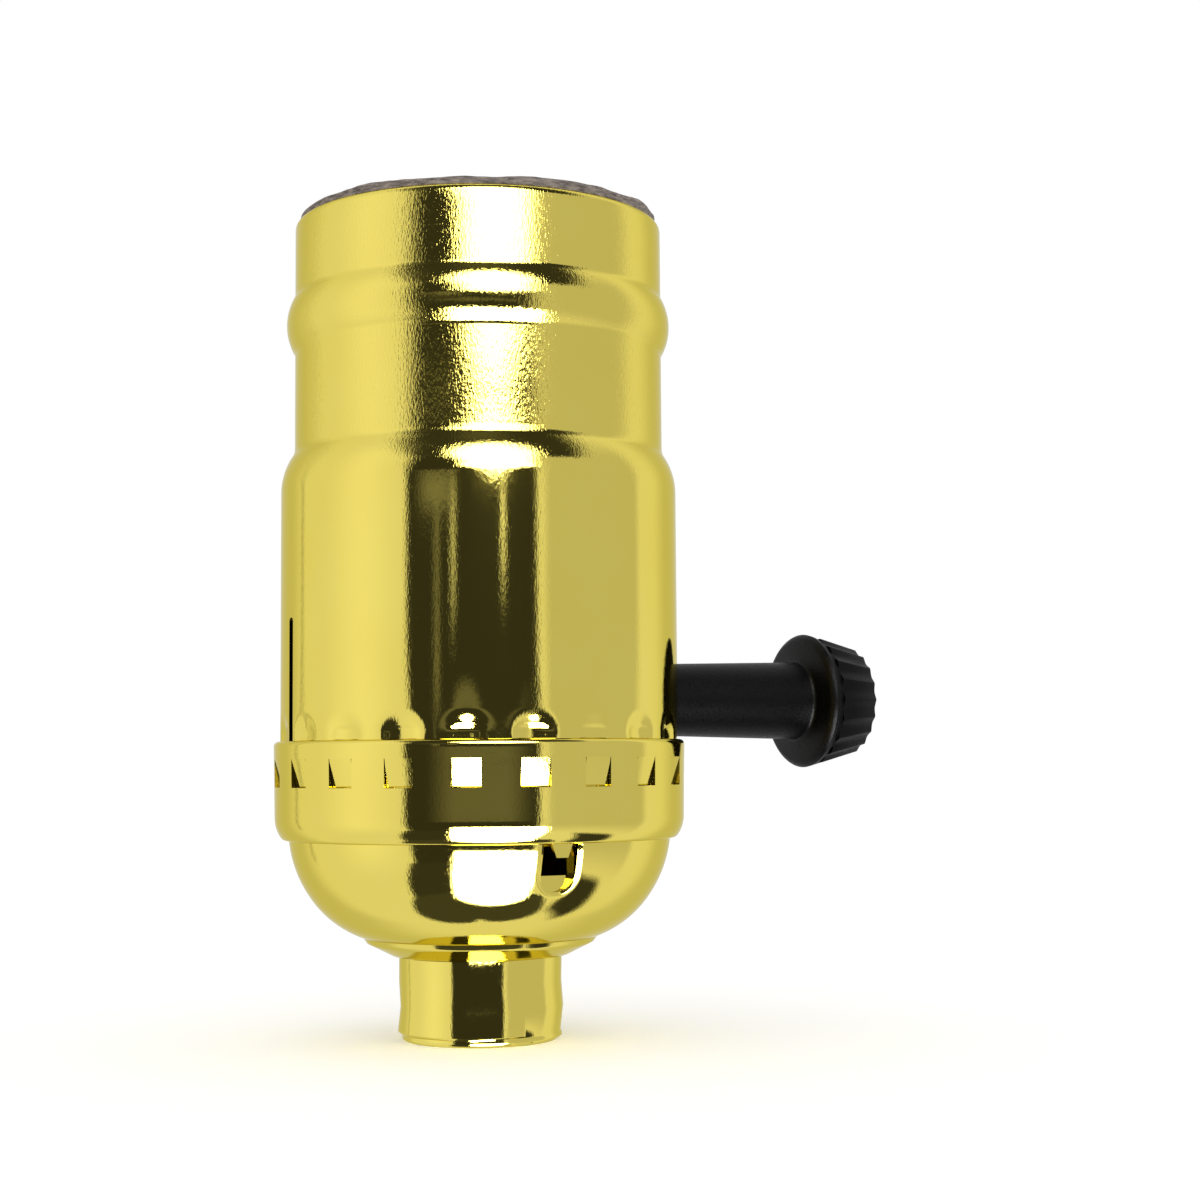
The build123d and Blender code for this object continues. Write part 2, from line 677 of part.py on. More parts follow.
# Centre rivet: joins the centre contact and the load contact through the base
with BuildPart() as centre_rivet:
    with BuildSketch(Plane.XZ):
        make_face(
            rivet_section(
                spigot_face - leaf_sheet,
                recess_z + leaf_sheet,
                centre_rivet_radius,
                centre_rivet_head,
                contact_sheet,
            )
        )
    revolve(axis=Axis.Z)
centre_rivet.part.label = "centre_rivet"
export_step(centre_rivet.part, "parts/centre_rivet.step")

# Line contact: terminal plate outside the housing, whose inner end folds into the lower leaf
with BuildPart() as line_contact:
    with BuildSketch(Plane.YZ):
        make_face(
            strip_fold(
                -terminal_flat - contact_sheet,
                cavity_half_width - (shaft_z - rotor_flat - cavity_floor) / 2 - 2 * moving_gap,
                cavity_floor,
                -leaf_width / 2,
                shaft_z - rotor_flat - leaf_gap,
                contact_sheet,
            )
        )
    extrude(amount=leaf_width / 2, both=True)
    with BuildSketch(Plane.XZ.offset(terminal_flat)):
        with Locations((0, (cavity_floor + terminal_z + screw_head_radius) / 2)):
            Rectangle(2 * screw_head_radius, terminal_z + screw_head_radius - cavity_floor)
        with Locations((0, terminal_z)):
            Circle(screw_radius, mode=Mode.SUBTRACT)
    extrude(amount=contact_sheet)
line_contact.part.label = "line_contact"
export_step(line_contact.part, "parts/line_contact.step")

# Neutral strap: terminal plate on the other side, carried up to the screw shell's floor
strap_foot = terminal_z - screw_head_radius
with BuildPart() as neutral_strap:
    with BuildSketch(Plane.XZ.offset(-terminal_flat - contact_sheet)):
        with Locations((0, terminal_z)):
            Rectangle(2 * screw_head_radius, 2 * screw_head_radius)
        with Locations((0, (strap_foot + base_top) / 2)):
            Rectangle(leaf_width, base_top - strap_foot)
        with Locations((0, terminal_z)):
            Circle(screw_radius, mode=Mode.SUBTRACT)
    extrude(amount=contact_sheet)
    with BuildSketch(Plane.XY.offset(base_top - contact_sheet)):
        with Locations((0, (terminal_flat + contact_sheet + recess_radius + 2 * moving_gap) / 2)):
            Rectangle(leaf_width, terminal_flat + contact_sheet - recess_radius - 2 * moving_gap)
    extrude(amount=contact_sheet)
neutral_strap.part.label = "neutral_strap"
export_step(neutral_strap.part, "parts/neutral_strap.step")

# Terminal screws: slotted binding heads outside the plates, shanks into the housing
with BuildPart() as line_screw:
    with BuildSketch(Plane.XZ.offset(terminal_flat + contact_sheet)):
        with Locations((0, terminal_z)):
            Circle(screw_head_radius)
    extrude(amount=screw_head_height)
    with BuildSketch(Plane.XZ.offset(terminal_flat + contact_sheet)):
        with Locations((0, terminal_z)):
            Circle(screw_radius)
    extrude(amount=-contact_sheet - screw_reach)
    with BuildSketch(Plane.XZ.offset(terminal_flat + contact_sheet + screw_head_height)):
        with Locations((0, terminal_z)):
            Rectangle(2 * screw_head_radius, screw_slot)
    extrude(amount=-screw_slot, mode=Mode.SUBTRACT)
line_screw.part.label = "line_screw"
export_step(line_screw.part, "parts/line_screw.step")
with BuildPart() as neutral_screw:
    add(line_screw.part, rotation=(0, 0, 180))
neutral_screw.part.label = "neutral_screw"
export_step(neutral_screw.part, "parts/neutral_screw.step")

# Detent spring: an arched leaf on the cavity's floor, under the rotor's cam
rotor_back = -cavity_back + moving_gap
rotor_front = cavity_front - moving_gap
cam_middle = rotor_back + cam_width / 2
spring_top = shaft_z - rotor_flat - leaf_gap
spring_reach = cavity_half_width - 2 * moving_gap
with BuildPart() as detent_spring:
    with BuildSketch(Plane.YZ.offset(cam_middle - leaf_width / 2)):
        with BuildLine():
            Polyline(
                (-spring_reach, cavity_floor),
                (-spring_reach + spring_foot, cavity_floor),
                (-rotor_flat / 2, spring_top - leaf_sheet),
                (rotor_flat / 2, spring_top - leaf_sheet),
                (spring_reach - spring_foot, cavity_floor),
                (spring_reach, cavity_floor),
                (spring_reach, cavity_floor + leaf_sheet),
                (spring_reach - spring_foot, cavity_floor + leaf_sheet),
                (rotor_flat / 2, spring_top),
                (-rotor_flat / 2, spring_top),
                (-spring_reach + spring_foot, cavity_floor + leaf_sheet),
                (-spring_reach, cavity_floor + leaf_sheet),
                close=True,
            )
        make_face()
    extrude(amount=leaf_width)
detent_spring.part.label = "detent_spring"
export_step(detent_spring.part, "parts/detent_spring.step")

# Shaft bush: flanged sleeve in the housing's front wall
with BuildPart() as shaft_bush:
    with BuildSketch(Plane.YZ.offset(cavity_front)):
        with Locations((0, shaft_z)):
            Circle(bush_radius)
    extrude(amount=bush_face - cavity_front)
    with BuildSketch(Plane.YZ.offset(bush_face)):
        with Locations((0, shaft_z)):
            Circle(bush_flange_radius)
    extrude(amount=bush_flange_height)
    with BuildSketch(Plane.YZ.offset(cavity_front)):
        with Locations((0, shaft_z)):
            Circle(shaft_radius + shaft_play)
    extrude(amount=bush_face + bush_flange_height - cavity_front, mode=Mode.SUBTRACT)
shaft_bush.part.label = "shaft_bush"
export_step(shaft_bush.part, "parts/shaft_bush.step")

# Shaft: pivot at the back, a driving flat inside the rotor, and a threaded end in the knob
with BuildPart() as switch_shaft:
    with BuildSketch(Plane.YZ.offset(rotor_back)):
        with Locations((0, shaft_z)):
            Circle(shaft_radius)
    extrude(amount=shaft_end - rotor_back)
    with BuildSketch(Plane.YZ.offset(rotor_back)):
        with Locations((0, shaft_z)):
            Circle(pivot_radius)
    extrude(amount=-pivot_length - moving_gap)
    with BuildSketch(Plane.YZ.offset(rotor_back)):
        with Locations((0, shaft_z + shaft_flat + shaft_radius / 2)):
            Rectangle(2 * shaft_radius, shaft_radius)
    extrude(amount=rotor_front - rotor_back, mode=Mode.SUBTRACT)
switch_shaft.part.label = "switch_shaft"
export_step(switch_shaft.part, "parts/switch_shaft.step")

# Bridge contact: stamped plate moulded into the rotor, whose lugs reach two of its flats
with BuildPart() as bridge_contact:
    with BuildSketch(Plane.YZ.offset(-bridge_sheet / 2)):
        with Locations((0, shaft_z)):
            Circle(bridge_ring_radius)
            Rectangle(2 * rotor_flat, bridge_width)
            Circle(bridge_hole_radius, mode=Mode.SUBTRACT)
    extrude(amount=bridge_sheet)
bridge_contact.part.label = "bridge_contact"
export_step(bridge_contact.part, "parts/bridge_contact.step")

# Rotor: four-sided cam, contact block and thrust collar on one moulded core
with BuildPart() as rotor:
    with BuildSketch(Plane.YZ.offset(rotor_back)):
        with Locations((0, shaft_z)):
            Circle(rotor_core_radius)
    extrude(amount=rotor_front - rotor_back)
    with BuildSketch(Plane.YZ.offset(rotor_back)):
        with Locations((0, shaft_z)):
            Rectangle(2 * rotor_flat, 2 * rotor_flat)
            Circle(rotor_corner_radius, mode=Mode.INTERSECT)
    extrude(amount=cam_width)
    with BuildSketch(Plane.YZ.offset(-contact_block_width / 2)):
        with Locations((0, shaft_z)):
            Rectangle(2 * rotor_flat, 2 * rotor_flat)
            Circle(rotor_corner_radius, mode=Mode.INTERSECT)
    extrude(amount=contact_block_width)
    with BuildSketch(Plane.YZ.offset(rotor_front - rotor_collar_width)):
        with Locations((0, shaft_z)):
            Circle(rotor_collar_radius)
    extrude(amount=rotor_collar_width)
    add(bridge_contact.part, mode=Mode.SUBTRACT)
    add(switch_shaft.part, mode=Mode.SUBTRACT)
rotor.part.label = "rotor"
export_step(rotor.part, "parts/rotor.step")

# Knob insert: threaded sleeve moulded into the stem, on the shaft's end
insert_radius = shaft_radius + insert_wall
insert_start = stem_start + moving_gap
with BuildPart() as knob_insert:
    with BuildSketch(Plane.YZ.offset(insert_start)):
        with Locations((0, shaft_z)):
            Circle(insert_radius)
            Circle(shaft_radius, mode=Mode.SUBTRACT)
    extrude(amount=insert_length)
knob_insert.part.label = "knob_insert"
export_step(knob_insert.part, "parts/knob_insert.step")


def flute_outline(crest_radius):
    """Outline a ring of hollow flutes that meet in sharp crests."""
    step = 2 * pi / flute_count
    hollow_radius = crest_radius * cos(step / 2) - flute_depth
    with BuildLine() as outline:
        for flute in range(flute_count):
            angle = flute * step
            ThreePointArc(
                (crest_radius * cos(angle), crest_radius * sin(angle)),
                (hollow_radius * cos(angle + step / 2), hollow_radius * sin(angle + step / 2)),
                (crest_radius * cos(angle + step), crest_radius * sin(angle + step)),
            )
    return outline.edges()


# Knob: long stem, round back flange, a groove and a fluted grip that narrows to its end
knob_axis_plane = Plane(origin=(0, 0, shaft_z), x_dir=(0, 1, 0), z_dir=(1, 0, 0))
knob_profile_plane = Plane(origin=(0, 0, shaft_z), x_dir=(1, 0, 0), z_dir=(0, -1, 0))
grip_start = head_back + head_rim_width + groove_width
with BuildPart() as knob:
    with BuildSketch(knob_profile_plane):
        with BuildLine():
            back = Polyline(
                (stem_start, 0),
                (stem_start, stem_root_radius),
                (head_back, stem_head_radius),
                (head_back + head_dish, head_radius - head_round),
            )
            corner = RadiusArc(
                back @ 1, (head_back + head_dish + head_round, head_radius), head_round
            )
            Polyline(
                corner @ 1,
                (head_back + head_rim_width, head_radius - head_draft),
                (head_back + head_rim_width, head_radius - groove_depth),
                (grip_start, flute_root_radius - groove_depth),
                (grip_start, 0),
                (stem_start, 0),
            )
        make_face()
    revolve(axis=Axis((0, 0, shaft_z), (1, 0, 0)))
    with BuildSketch(knob_axis_plane.offset(grip_start)):
        make_face(flute_outline(flute_root_radius))
    with BuildSketch(knob_axis_plane.offset(knob_end)):
        make_face(flute_outline(flute_end_radius))
    loft()
    with BuildSketch(knob_axis_plane.offset(stem_start)):
        Circle(insert_radius)
    extrude(amount=moving_gap + insert_length, mode=Mode.SUBTRACT)
    with BuildSketch(knob_axis_plane.offset(stem_start)):
        Circle(shaft_radius)
    extrude(amount=shaft_end - stem_start, mode=Mode.SUBTRACT)
knob.part.label = "knob"
export_step(knob.part, "parts/knob.step")
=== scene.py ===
"""Looks of a turn-knob lamp holder: polished brass sheet, fibre and moulded black plastic."""

import json
import logging
import math
from collections.abc import Callable
from dataclasses import dataclass
from enum import Enum

import bpy
from mathutils import Matrix, Vector, noise


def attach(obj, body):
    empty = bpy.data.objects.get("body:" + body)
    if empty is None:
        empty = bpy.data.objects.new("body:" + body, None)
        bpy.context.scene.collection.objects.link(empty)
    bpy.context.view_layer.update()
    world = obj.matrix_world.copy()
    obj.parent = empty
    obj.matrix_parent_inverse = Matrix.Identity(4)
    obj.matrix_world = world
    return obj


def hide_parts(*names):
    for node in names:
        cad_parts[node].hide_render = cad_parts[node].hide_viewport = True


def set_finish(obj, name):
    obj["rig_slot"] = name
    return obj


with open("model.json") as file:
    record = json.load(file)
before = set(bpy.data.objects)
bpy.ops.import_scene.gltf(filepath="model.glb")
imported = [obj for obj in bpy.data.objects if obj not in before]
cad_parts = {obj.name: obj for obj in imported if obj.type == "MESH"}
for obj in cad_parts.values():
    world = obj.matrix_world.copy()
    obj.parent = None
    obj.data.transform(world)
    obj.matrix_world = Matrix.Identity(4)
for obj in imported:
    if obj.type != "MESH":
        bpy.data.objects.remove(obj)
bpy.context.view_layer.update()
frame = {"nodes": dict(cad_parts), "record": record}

LOG = logging.getLogger("lamp_holder")
MM = 0.001
WHITE = (1.0, 1.0, 1.0, 1.0)
WELD = 0.002 * MM     # points nearer than this become one
NEAR = 0.01 * MM      # places nearer than this count as the same
NOISE_SPAN = 2.0      # a noise texture's period holds a grain and the gap beside it
SHAFT_HEIGHT = 31.3   # of the knob's axis over the hub's face, in millimetres
CUT_DEPTH = 10.0      # of a cutting tool, across the wall that it cuts, in millimetres
CARD_CENTRE = 0.03    # height that the studio cards stand round, in metres

# The photograph's view, worked out from the arcs of the shell's rims
CAMERA_PLACE = Vector((-0.0806, -0.1854, 0.02544))
CAMERA_FORWARD = Vector((0.4479, 0.8910, 0.0741))
CAMERA_ROLL = math.radians(-0.418)
CAMERA_LENS_MM = 64.93
CAMERA_AZIMUTH = math.degrees(math.atan2(CAMERA_PLACE.y, CAMERA_PLACE.x))


class Body(Enum):
    """The two bodies that the record names."""

    SOCKET = "socket"
    TURNING = "turning_switch"


def deselect_all() -> None:
    """Leave edit mode and deselect every object."""
    if bpy.context.mode != "OBJECT":
        bpy.ops.object.mode_set(mode="OBJECT")
    bpy.ops.object.select_all(action="DESELECT")


def pick(piece: bpy.types.Object) -> None:
    """Make a piece the only selected and the active object."""
    deselect_all()
    piece.select_set(True)
    bpy.context.view_layer.objects.active = piece


def settle(piece: bpy.types.Object, name: str) -> bpy.types.Object:
    """Name a finished piece and bring its place into its mesh.

    Args:
        piece: The object that was just modelled.
        name: The name that it is listed under.

    Returns:
        The same object, at the origin, unturned and unscaled.
    """
    pick(piece)
    bpy.ops.object.transform_apply(location=True, rotation=True, scale=True)
    piece.name = name
    piece.data.name = name
    return piece


def apply_modifier(piece: bpy.types.Object, kind: str, **settings: object) -> None:
    """Give a piece a modifier and apply it.

    Args:
        piece: The object to change.
        kind: Blender's name of the modifier.
        settings: The modifier's properties.
    """
    modifier = piece.modifiers.new(kind.title(), kind)
    for setting, value in settings.items():
        setattr(modifier, setting, value)
    pick(piece)
    bpy.ops.object.modifier_apply(modifier=modifier.name)


def smooth(piece: bpy.types.Object, angle: float = 32.0) -> None:
    """Shade a piece smooth, with an edge wherever it bends by more than the angle in degrees."""
    pick(piece)
    bpy.ops.object.shade_smooth_by_angle(angle=math.radians(angle))


def ease(value: float) -> float:
    """Turn a share of a way into a soft start and a soft end."""
    share = min(1.0, max(0.0, value))
    return share * share * (3.0 - 2.0 * share)


@dataclass
class Outline:
    """Half of a turned or drawn section, as (radius, height) pairs in millimetres."""

    points: list[tuple[float, float]]

    def line_to(self, radius: float, height: float, pieces: int = 1) -> "Outline":
        """Go straight to a point, in equal pieces.

        Args:
            radius: The end point's radius.
            height: The end point's height.
            pieces: How many pieces the line has.

        Returns:
            The outline, so that calls can follow each other.
        """
        start_radius, start_height = self.points[-1]
        for piece in range(1, pieces + 1):
            share = piece / pieces
            self.points.append((
                start_radius + (radius - start_radius) * share,
                start_height + (height - start_height) * share,
            ))
        return self

    def turn_about(self, radius: float, height: float, sweep: float, pieces: int) -> "Outline":
        """Go round a centre.

        Args:
            radius: The centre's radius.
            height: The centre's height.
            sweep: The turn in degrees, counterclockwise if it is positive.
            pieces: How many straight pieces stand for the arc.

        Returns:
            The outline, so that calls can follow each other.
        """
        start_radius, start_height = self.points[-1]
        reach = math.hypot(start_radius - radius, start_height - height)
        start = math.atan2(start_height - height, start_radius - radius)
        for piece in range(1, pieces + 1):
            angle = start + math.radians(sweep) * piece / pieces
            self.points.append(
                (radius + reach * math.cos(angle), height + reach * math.sin(angle))
            )
        return self

    def bend_to(self, radius: float, height: float, pieces: int) -> "Outline":
        """Go to a point on the arc that leaves in the direction of the last piece.

        Args:
            radius: The end point's radius.
            height: The end point's height.
            pieces: How many straight pieces stand for the arc.

        Returns:
            The outline, so that calls can follow each other.
        """
        (before_radius, before_height), (start_radius, start_height) = self.points[-2:]
        along = Vector((start_radius - before_radius, start_height - before_height)).normalized()
        chord = Vector((radius - start_radius, height - start_height))
        side = Vector((-along.y, along.x))
        reach = chord.length_squared / (2.0 * chord.dot(side))
        centre = Vector((start_radius, start_height)) + side * reach
        turned = 2.0 * math.degrees(math.atan2(chord.dot(side), chord.dot(along)))
        return self.turn_about(centre.x, centre.y, turned, pieces)


def spun(name: str, outline: Outline, columns: int) -> bpy.types.Object:
    """Draw an outline point by point and spin it once round the socket's axis.

    Args:
        name: The new object's name.
        outline: The section to spin.
        columns: How many faces go round.

    Returns:
        The surface, merged at its seam, with its faces pointing outwards.
    """
    points = [Vector((radius * MM, 0.0, height * MM)) for radius, height in outline.points]
    deselect_all()
    bpy.ops.mesh.primitive_plane_add(size=MM, location=points[0])
    piece = bpy.context.active_object
    bpy.ops.object.mode_set(mode="EDIT")
    bpy.ops.mesh.select_mode(type="VERT")
    bpy.ops.mesh.select_all(action="SELECT")
    bpy.ops.mesh.merge(type="CENTER")
    for start, end in zip(points, points[1:]):
        bpy.ops.mesh.extrude_region_move(TRANSFORM_OT_translate={"value": end - start})
    bpy.ops.mesh.select_all(action="SELECT")
    bpy.ops.mesh.spin(
        steps=columns, angle=2.0 * math.pi, center=(0.0, 0.0, 0.0), axis=(0.0, 0.0, 1.0)
    )
    bpy.ops.mesh.select_all(action="SELECT")
    bpy.ops.mesh.remove_doubles(threshold=WELD)
    bpy.ops.mesh.normals_make_consistent(inside=False)
    bpy.ops.object.mode_set(mode="OBJECT")
    return settle(piece, name)


def polar(place: Vector) -> tuple[float, float, float]:
    """Give a place's radius, its angle in degrees and its height, in millimetres."""
    angle = math.degrees(math.atan2(place.y, place.x)) % 360.0
    return math.hypot(place.x, place.y) / MM, angle, place.z / MM


def turn_to(vertex: bpy.types.MeshVertex, radius: float, angle: float) -> None:
    """Move a vertex to a radius in millimetres and an angle in degrees, at its own height."""
    vertex.co.x = radius * MM * math.cos(math.radians(angle))
    vertex.co.y = radius * MM * math.sin(math.radians(angle))


def press(
    piece: bpy.types.Object, depth: float, weight: Callable[[float, float], float]
) -> None:
    """Push a spun surface along its normals, as far as a weight says at each place.

    Args:
        piece: The surface.
        depth: How far a weight of 1 moves it outwards, in millimetres.
        weight: A share from 0 to 1, from the angle in degrees and the height in millimetres.
    """
    group = piece.vertex_groups.new(name="press")
    for vertex in piece.data.vertices:
        _, angle, height = polar(vertex.co)
        share = weight(angle, height)
        if share > 0.0:
            group.add([vertex.index], share, "REPLACE")
    apply_modifier(
        piece,
        "DISPLACE",
        direction="NORMAL",
        mid_level=0.0,
        strength=depth * MM,
        vertex_group="press",
    )
    piece.vertex_groups.clear()


def thicken(piece: bpy.types.Object, sheet: float) -> None:
    """Give an outer face the thickness of its sheet in millimetres, towards the inside."""
    apply_modifier(piece, "SOLIDIFY", thickness=sheet * MM, offset=-1.0)


def choose_faces(piece: bpy.types.Object, wanted: Callable[[Vector], bool]) -> None:
    """Enter edit mode with only some faces selected.

    Args:
        piece: The object whose faces they are.
        wanted: Whether a face is selected, from its middle.
    """
    pick(piece)
    bpy.ops.object.mode_set(mode="EDIT")
    bpy.ops.mesh.select_mode(type="FACE")
    bpy.ops.mesh.select_all(action="DESELECT")
    bpy.ops.object.mode_set(mode="OBJECT")
    for polygon in piece.data.polygons:
        polygon.select = wanted(polygon.center)
    bpy.ops.object.mode_set(mode="EDIT")


def lift_off(piece: bpy.types.Object, wanted: Callable[[Vector], bool]) -> bpy.types.Object:
    """Part some faces from a piece.

    Args:
        piece: The object that loses them.
        wanted: Whether a face is parted, from its middle.

    Returns:
        A new object of the parted faces.
    """
    choose_faces(piece, wanted)
    bpy.ops.mesh.separate(type="SELECTED")
    bpy.ops.object.mode_set(mode="OBJECT")
    return next(o for o in bpy.context.selected_objects if o is not piece)


def joined(piece: bpy.types.Object, *others: bpy.types.Object) -> bpy.types.Object:
    """Join objects.

    Args:
        piece: The object that takes the others in.
        others: The objects that become a part of it.

    Returns:
        The first object.
    """
    pick(piece)
    for other in others:
        other.select_set(True)
    bpy.ops.object.join()
    return piece


def cut(piece: bpy.types.Object, tool: bpy.types.Object, operation: str = "DIFFERENCE") -> None:
    """Cut a piece with a tool object, and throw the tool away."""
    apply_modifier(piece, "BOOLEAN", object=tool, operation=operation, solver="EXACT")
    bpy.data.objects.remove(tool)


def cutting_block(wall: float, half_width: float, low: float, high: float) -> bpy.types.Object:
    """Make a block that stands across a wall on the knob's side or opposite it.

    Args:
        wall: Where the wall is along X, in millimetres, negative opposite the knob.
        half_width: Half of the block's width along Y, in millimetres.
        low: The height of its foot, in millimetres.
        high: The height of its top, in millimetres.

    Returns:
        The block, with its place and size in its object.
    """
    deselect_all()
    bpy.ops.mesh.primitive_cube_add(
        size=1.0,
        location=(wall * MM, 0.0, (low + high) / 2.0 * MM),
        scale=(CUT_DEPTH * MM, 2.0 * half_width * MM, (high - low) * MM),
    )
    return bpy.context.active_object


def cut_stem_notch(piece: bpy.types.Object, wall: float, radius: float, low: float) -> None:
    """Cut the notch that the knob's stem passes through, round above the shaft and open below.

    Args:
        piece: The sleeve or shell to cut.
        wall: Its radius, in millimetres.
        radius: The notch's radius, and half of its width, in millimetres.
        low: How far down the cut goes, in millimetres.
    """
    deselect_all()
    bpy.ops.mesh.primitive_cylinder_add(
        vertices=64,
        radius=radius * MM,
        depth=CUT_DEPTH * MM,
        location=(wall * MM, 0.0, SHAFT_HEIGHT * MM),
        rotation=(0.0, math.pi / 2.0, 0.0),
    )
    cut(piece, bpy.context.active_object)
    cut(piece, cutting_block(wall, radius, low, SHAFT_HEIGHT))


def sector_angle(angle: float, count: int, first: float) -> float:
    """Give the angle from the nearest of equally spaced places round the axis, in degrees."""
    pitch = 360.0 / count
    return (angle - first + pitch / 2.0) % pitch - pitch / 2.0


def linear(code: str) -> tuple[float, float, float, float]:
    """Turn an sRGB hex colour into the linear colour that a shader takes."""
    channels = [int(code[place : place + 2], 16) / 255.0 for place in (0, 2, 4)]
    return (
        *(c / 12.92 if c <= 0.04045 else ((c + 0.055) / 1.055) ** 2.4 for c in channels),
        1.0,
    )


def noise_scale(grain_mm: float) -> float:
    """Give the scale of a noise texture whose grains are so many millimetres across."""
    return 1.0 / (grain_mm * MM * NOISE_SPAN)


def add_node(
    tree: bpy.types.NodeTree,
    kind: str,
    settings: dict[str | int, object] | None = None,
    links: dict[str | int, bpy.types.NodeSocket] | None = None,
) -> bpy.types.Node:
    """Add a shader node.

    Args:
        tree: The tree that it goes into.
        kind: The node's type, without its ShaderNode prefix.
        settings: Properties by name, and input values by their socket's name or number.
        links: The output that feeds each input, by the input's name or number.

    Returns:
        The new node.
    """
    node = tree.nodes.new("ShaderNode" + kind)
    for name, value in (settings or {}).items():
        if isinstance(name, int) or name in node.inputs:
            node.inputs[name].default_value = value
        else:
            setattr(node, name, value)
    for name, output in (links or {}).items():
        tree.links.new(output, node.inputs[name])
    return node


def new_material(name: str) -> tuple[bpy.types.Material, bpy.types.NodeTree]:
    """Make an empty node material.

    Args:
        name: The name of the real finish.

    Returns:
        The material and its tree.
    """
    material = bpy.data.materials.new(name)
    material.use_nodes = True
    material.node_tree.nodes.clear()
    return material, material.node_tree


def dress(piece: bpy.types.Object, material: bpy.types.Material) -> None:
    """Give a piece one material all over."""
    piece.data.materials.clear()
    piece.data.materials.append(material)


@dataclass(frozen=True)
class Finish:
    """A surface with one grain, which lifts it and may also change its colour and its gloss."""

    name: str
    colour: str
    roughness: float
    other: str = ""               # its second colour, if it has one
    cloud_mm: float = 0.0         # size of that colour's clouds; with 0 it lies on the grain
    cloud_detail: float = 2.0
    edge: str = "FFFFFF"          # tint where it is seen nearly edge on
    metallic: float = 0.0
    specular: float = 0.5
    grain_mm: float = 0.25
    grain_stretch: tuple[float, float, float] = (1.0, 1.0, 1.0)
    grain_detail: float = 3.0
    grain_roughness: float = 0.5
    grain_range: tuple[float, float] = (0.0, 1.0)  # of the noise, from hollows to peaks
    grain_height_mm: float = 0.02
    depth: float = 0.12           # the bump's strength
    gloss_range: tuple[float, ...] = ()   # roughness in hollows and on peaks, as shares of it
    drawn_mm: tuple[float, ...] = ()      # heights between which the depth comes up
    smooth_depth: float = 0.0             # from this

    def material(self) -> bpy.types.Material:
        """Build the finish.

        Returns:
            The node material.
        """
        material, tree = new_material(self.name)
        place = add_node(tree, "TexCoord").outputs["Object"]
        along = add_node(tree, "Mapping", {"Scale": self.grain_stretch}, {"Vector": place})
        grain = add_node(
            tree,
            "TexNoise",
            {
                "Scale": noise_scale(self.grain_mm),
                "Detail": self.grain_detail,
                "Roughness": self.grain_roughness,
            },
            {"Vector": along.outputs["Vector"]},
        ).outputs["Fac"]
        bump = add_node(
            tree,
            "Bump",
            {"Distance": self.grain_height_mm * MM, "Strength": self.depth},
            {"Height": grain},
        )
        links = {"Normal": bump.outputs["Normal"]}
        if self.drawn_mm:
            height = add_node(tree, "SeparateXYZ", {}, {"Vector": place}).outputs["Z"]
            ends = dict(zip(("From Min", "From Max"), (end * MM for end in self.drawn_mm)))
            depths = {"To Min": self.smooth_depth, "To Max": self.depth}
            strength = add_node(tree, "MapRange", ends | depths, {"Value": height})
            tree.links.new(strength.outputs["Result"], bump.inputs["Strength"])
        span = dict(zip(("From Min", "From Max"), self.grain_range))
        if self.gloss_range:
            gloss = (self.roughness * share for share in self.gloss_range)
            rough = add_node(
                tree, "MapRange", span | dict(zip(("To Min", "To Max"), gloss)), {"Value": grain}
            )
            links["Roughness"] = rough.outputs["Result"]
        if self.other:
            if self.cloud_mm:
                cloud = {"Scale": noise_scale(self.cloud_mm), "Detail": self.cloud_detail}
                share = add_node(tree, "TexNoise", cloud, {"Vector": place}).outputs["Fac"]
            else:
                share = add_node(tree, "MapRange", span, {"Value": grain}).outputs["Result"]
            colours = {6: linear(self.colour), 7: linear(self.other)}
            tint = add_node(tree, "Mix", {"data_type": "RGBA"} | colours, {0: share})
            links["Base Color"] = tint.outputs[2]
        surface = add_node(
            tree,
            "BsdfPrincipled",
            {
                "Base Color": linear(self.colour),
                "Metallic": self.metallic,
                "Roughness": self.roughness,
                "Specular IOR Level": self.specular,
                "Specular Tint": linear(self.edge),
            },
            links,
        )
        add_node(tree, "OutputMaterial", {}, {"Surface": surface.outputs["BSDF"]})
        return material


@dataclass(frozen=True)
class PolishedBrassPlate(Finish):
    """Electroplated brass on drawn steel sheet: a lemon-yellow mirror with a fine drawing grain."""

    name: str = "polished_brass_plate"
    colour: str = "E2D26A"
    roughness: float = 0.05
    other: str = "DECB60"         # faint clouds of a slightly deeper yellow
    cloud_mm: float = 4.5
    cloud_detail: float = 3.0
    edge: str = "F0EAB8"          # brass seen nearly edge on stays yellow
    metallic: float = 1.0
    grain_mm: float = 0.0825      # orange peel that deep drawing leaves in the sheet,
    grain_stretch: tuple[float, float, float] = (1.0, 1.0, 0.33)  # drawn out along the socket
    grain_detail: float = 2.5
    grain_roughness: float = 0.55
    grain_height_mm: float = 0.021
    depth: float = 1.0            # where the sheet was necked in
    drawn_mm: tuple[float, ...] = (50.0, 52.5)
    smooth_depth: float = 0.22    # on the barrel and the cap


@dataclass(frozen=True)
class PlainMetal(Finish):
    """Stamped, turned or rolled metal with fine tool marks: bright, but not polished."""

    metallic: float = 1.0
    gloss_range: tuple[float, ...] = (0.8, 1.3)


@dataclass(frozen=True)
class MouldedPlastic(Finish):
    """Plastic from a spark-eroded mould: even and satin, with a fine sparkling grain."""

    cloud_mm: float = 1.25
    grain_mm: float = 0.12
    grain_detail: float = 2.0
    grain_roughness: float = 0.6
    grain_range: tuple[float, float] = (0.35, 0.7)
    grain_height_mm: float = 0.03
    gloss_range: tuple[float, ...] = (1.15, 0.8)  # its peaks are rubbed smoother


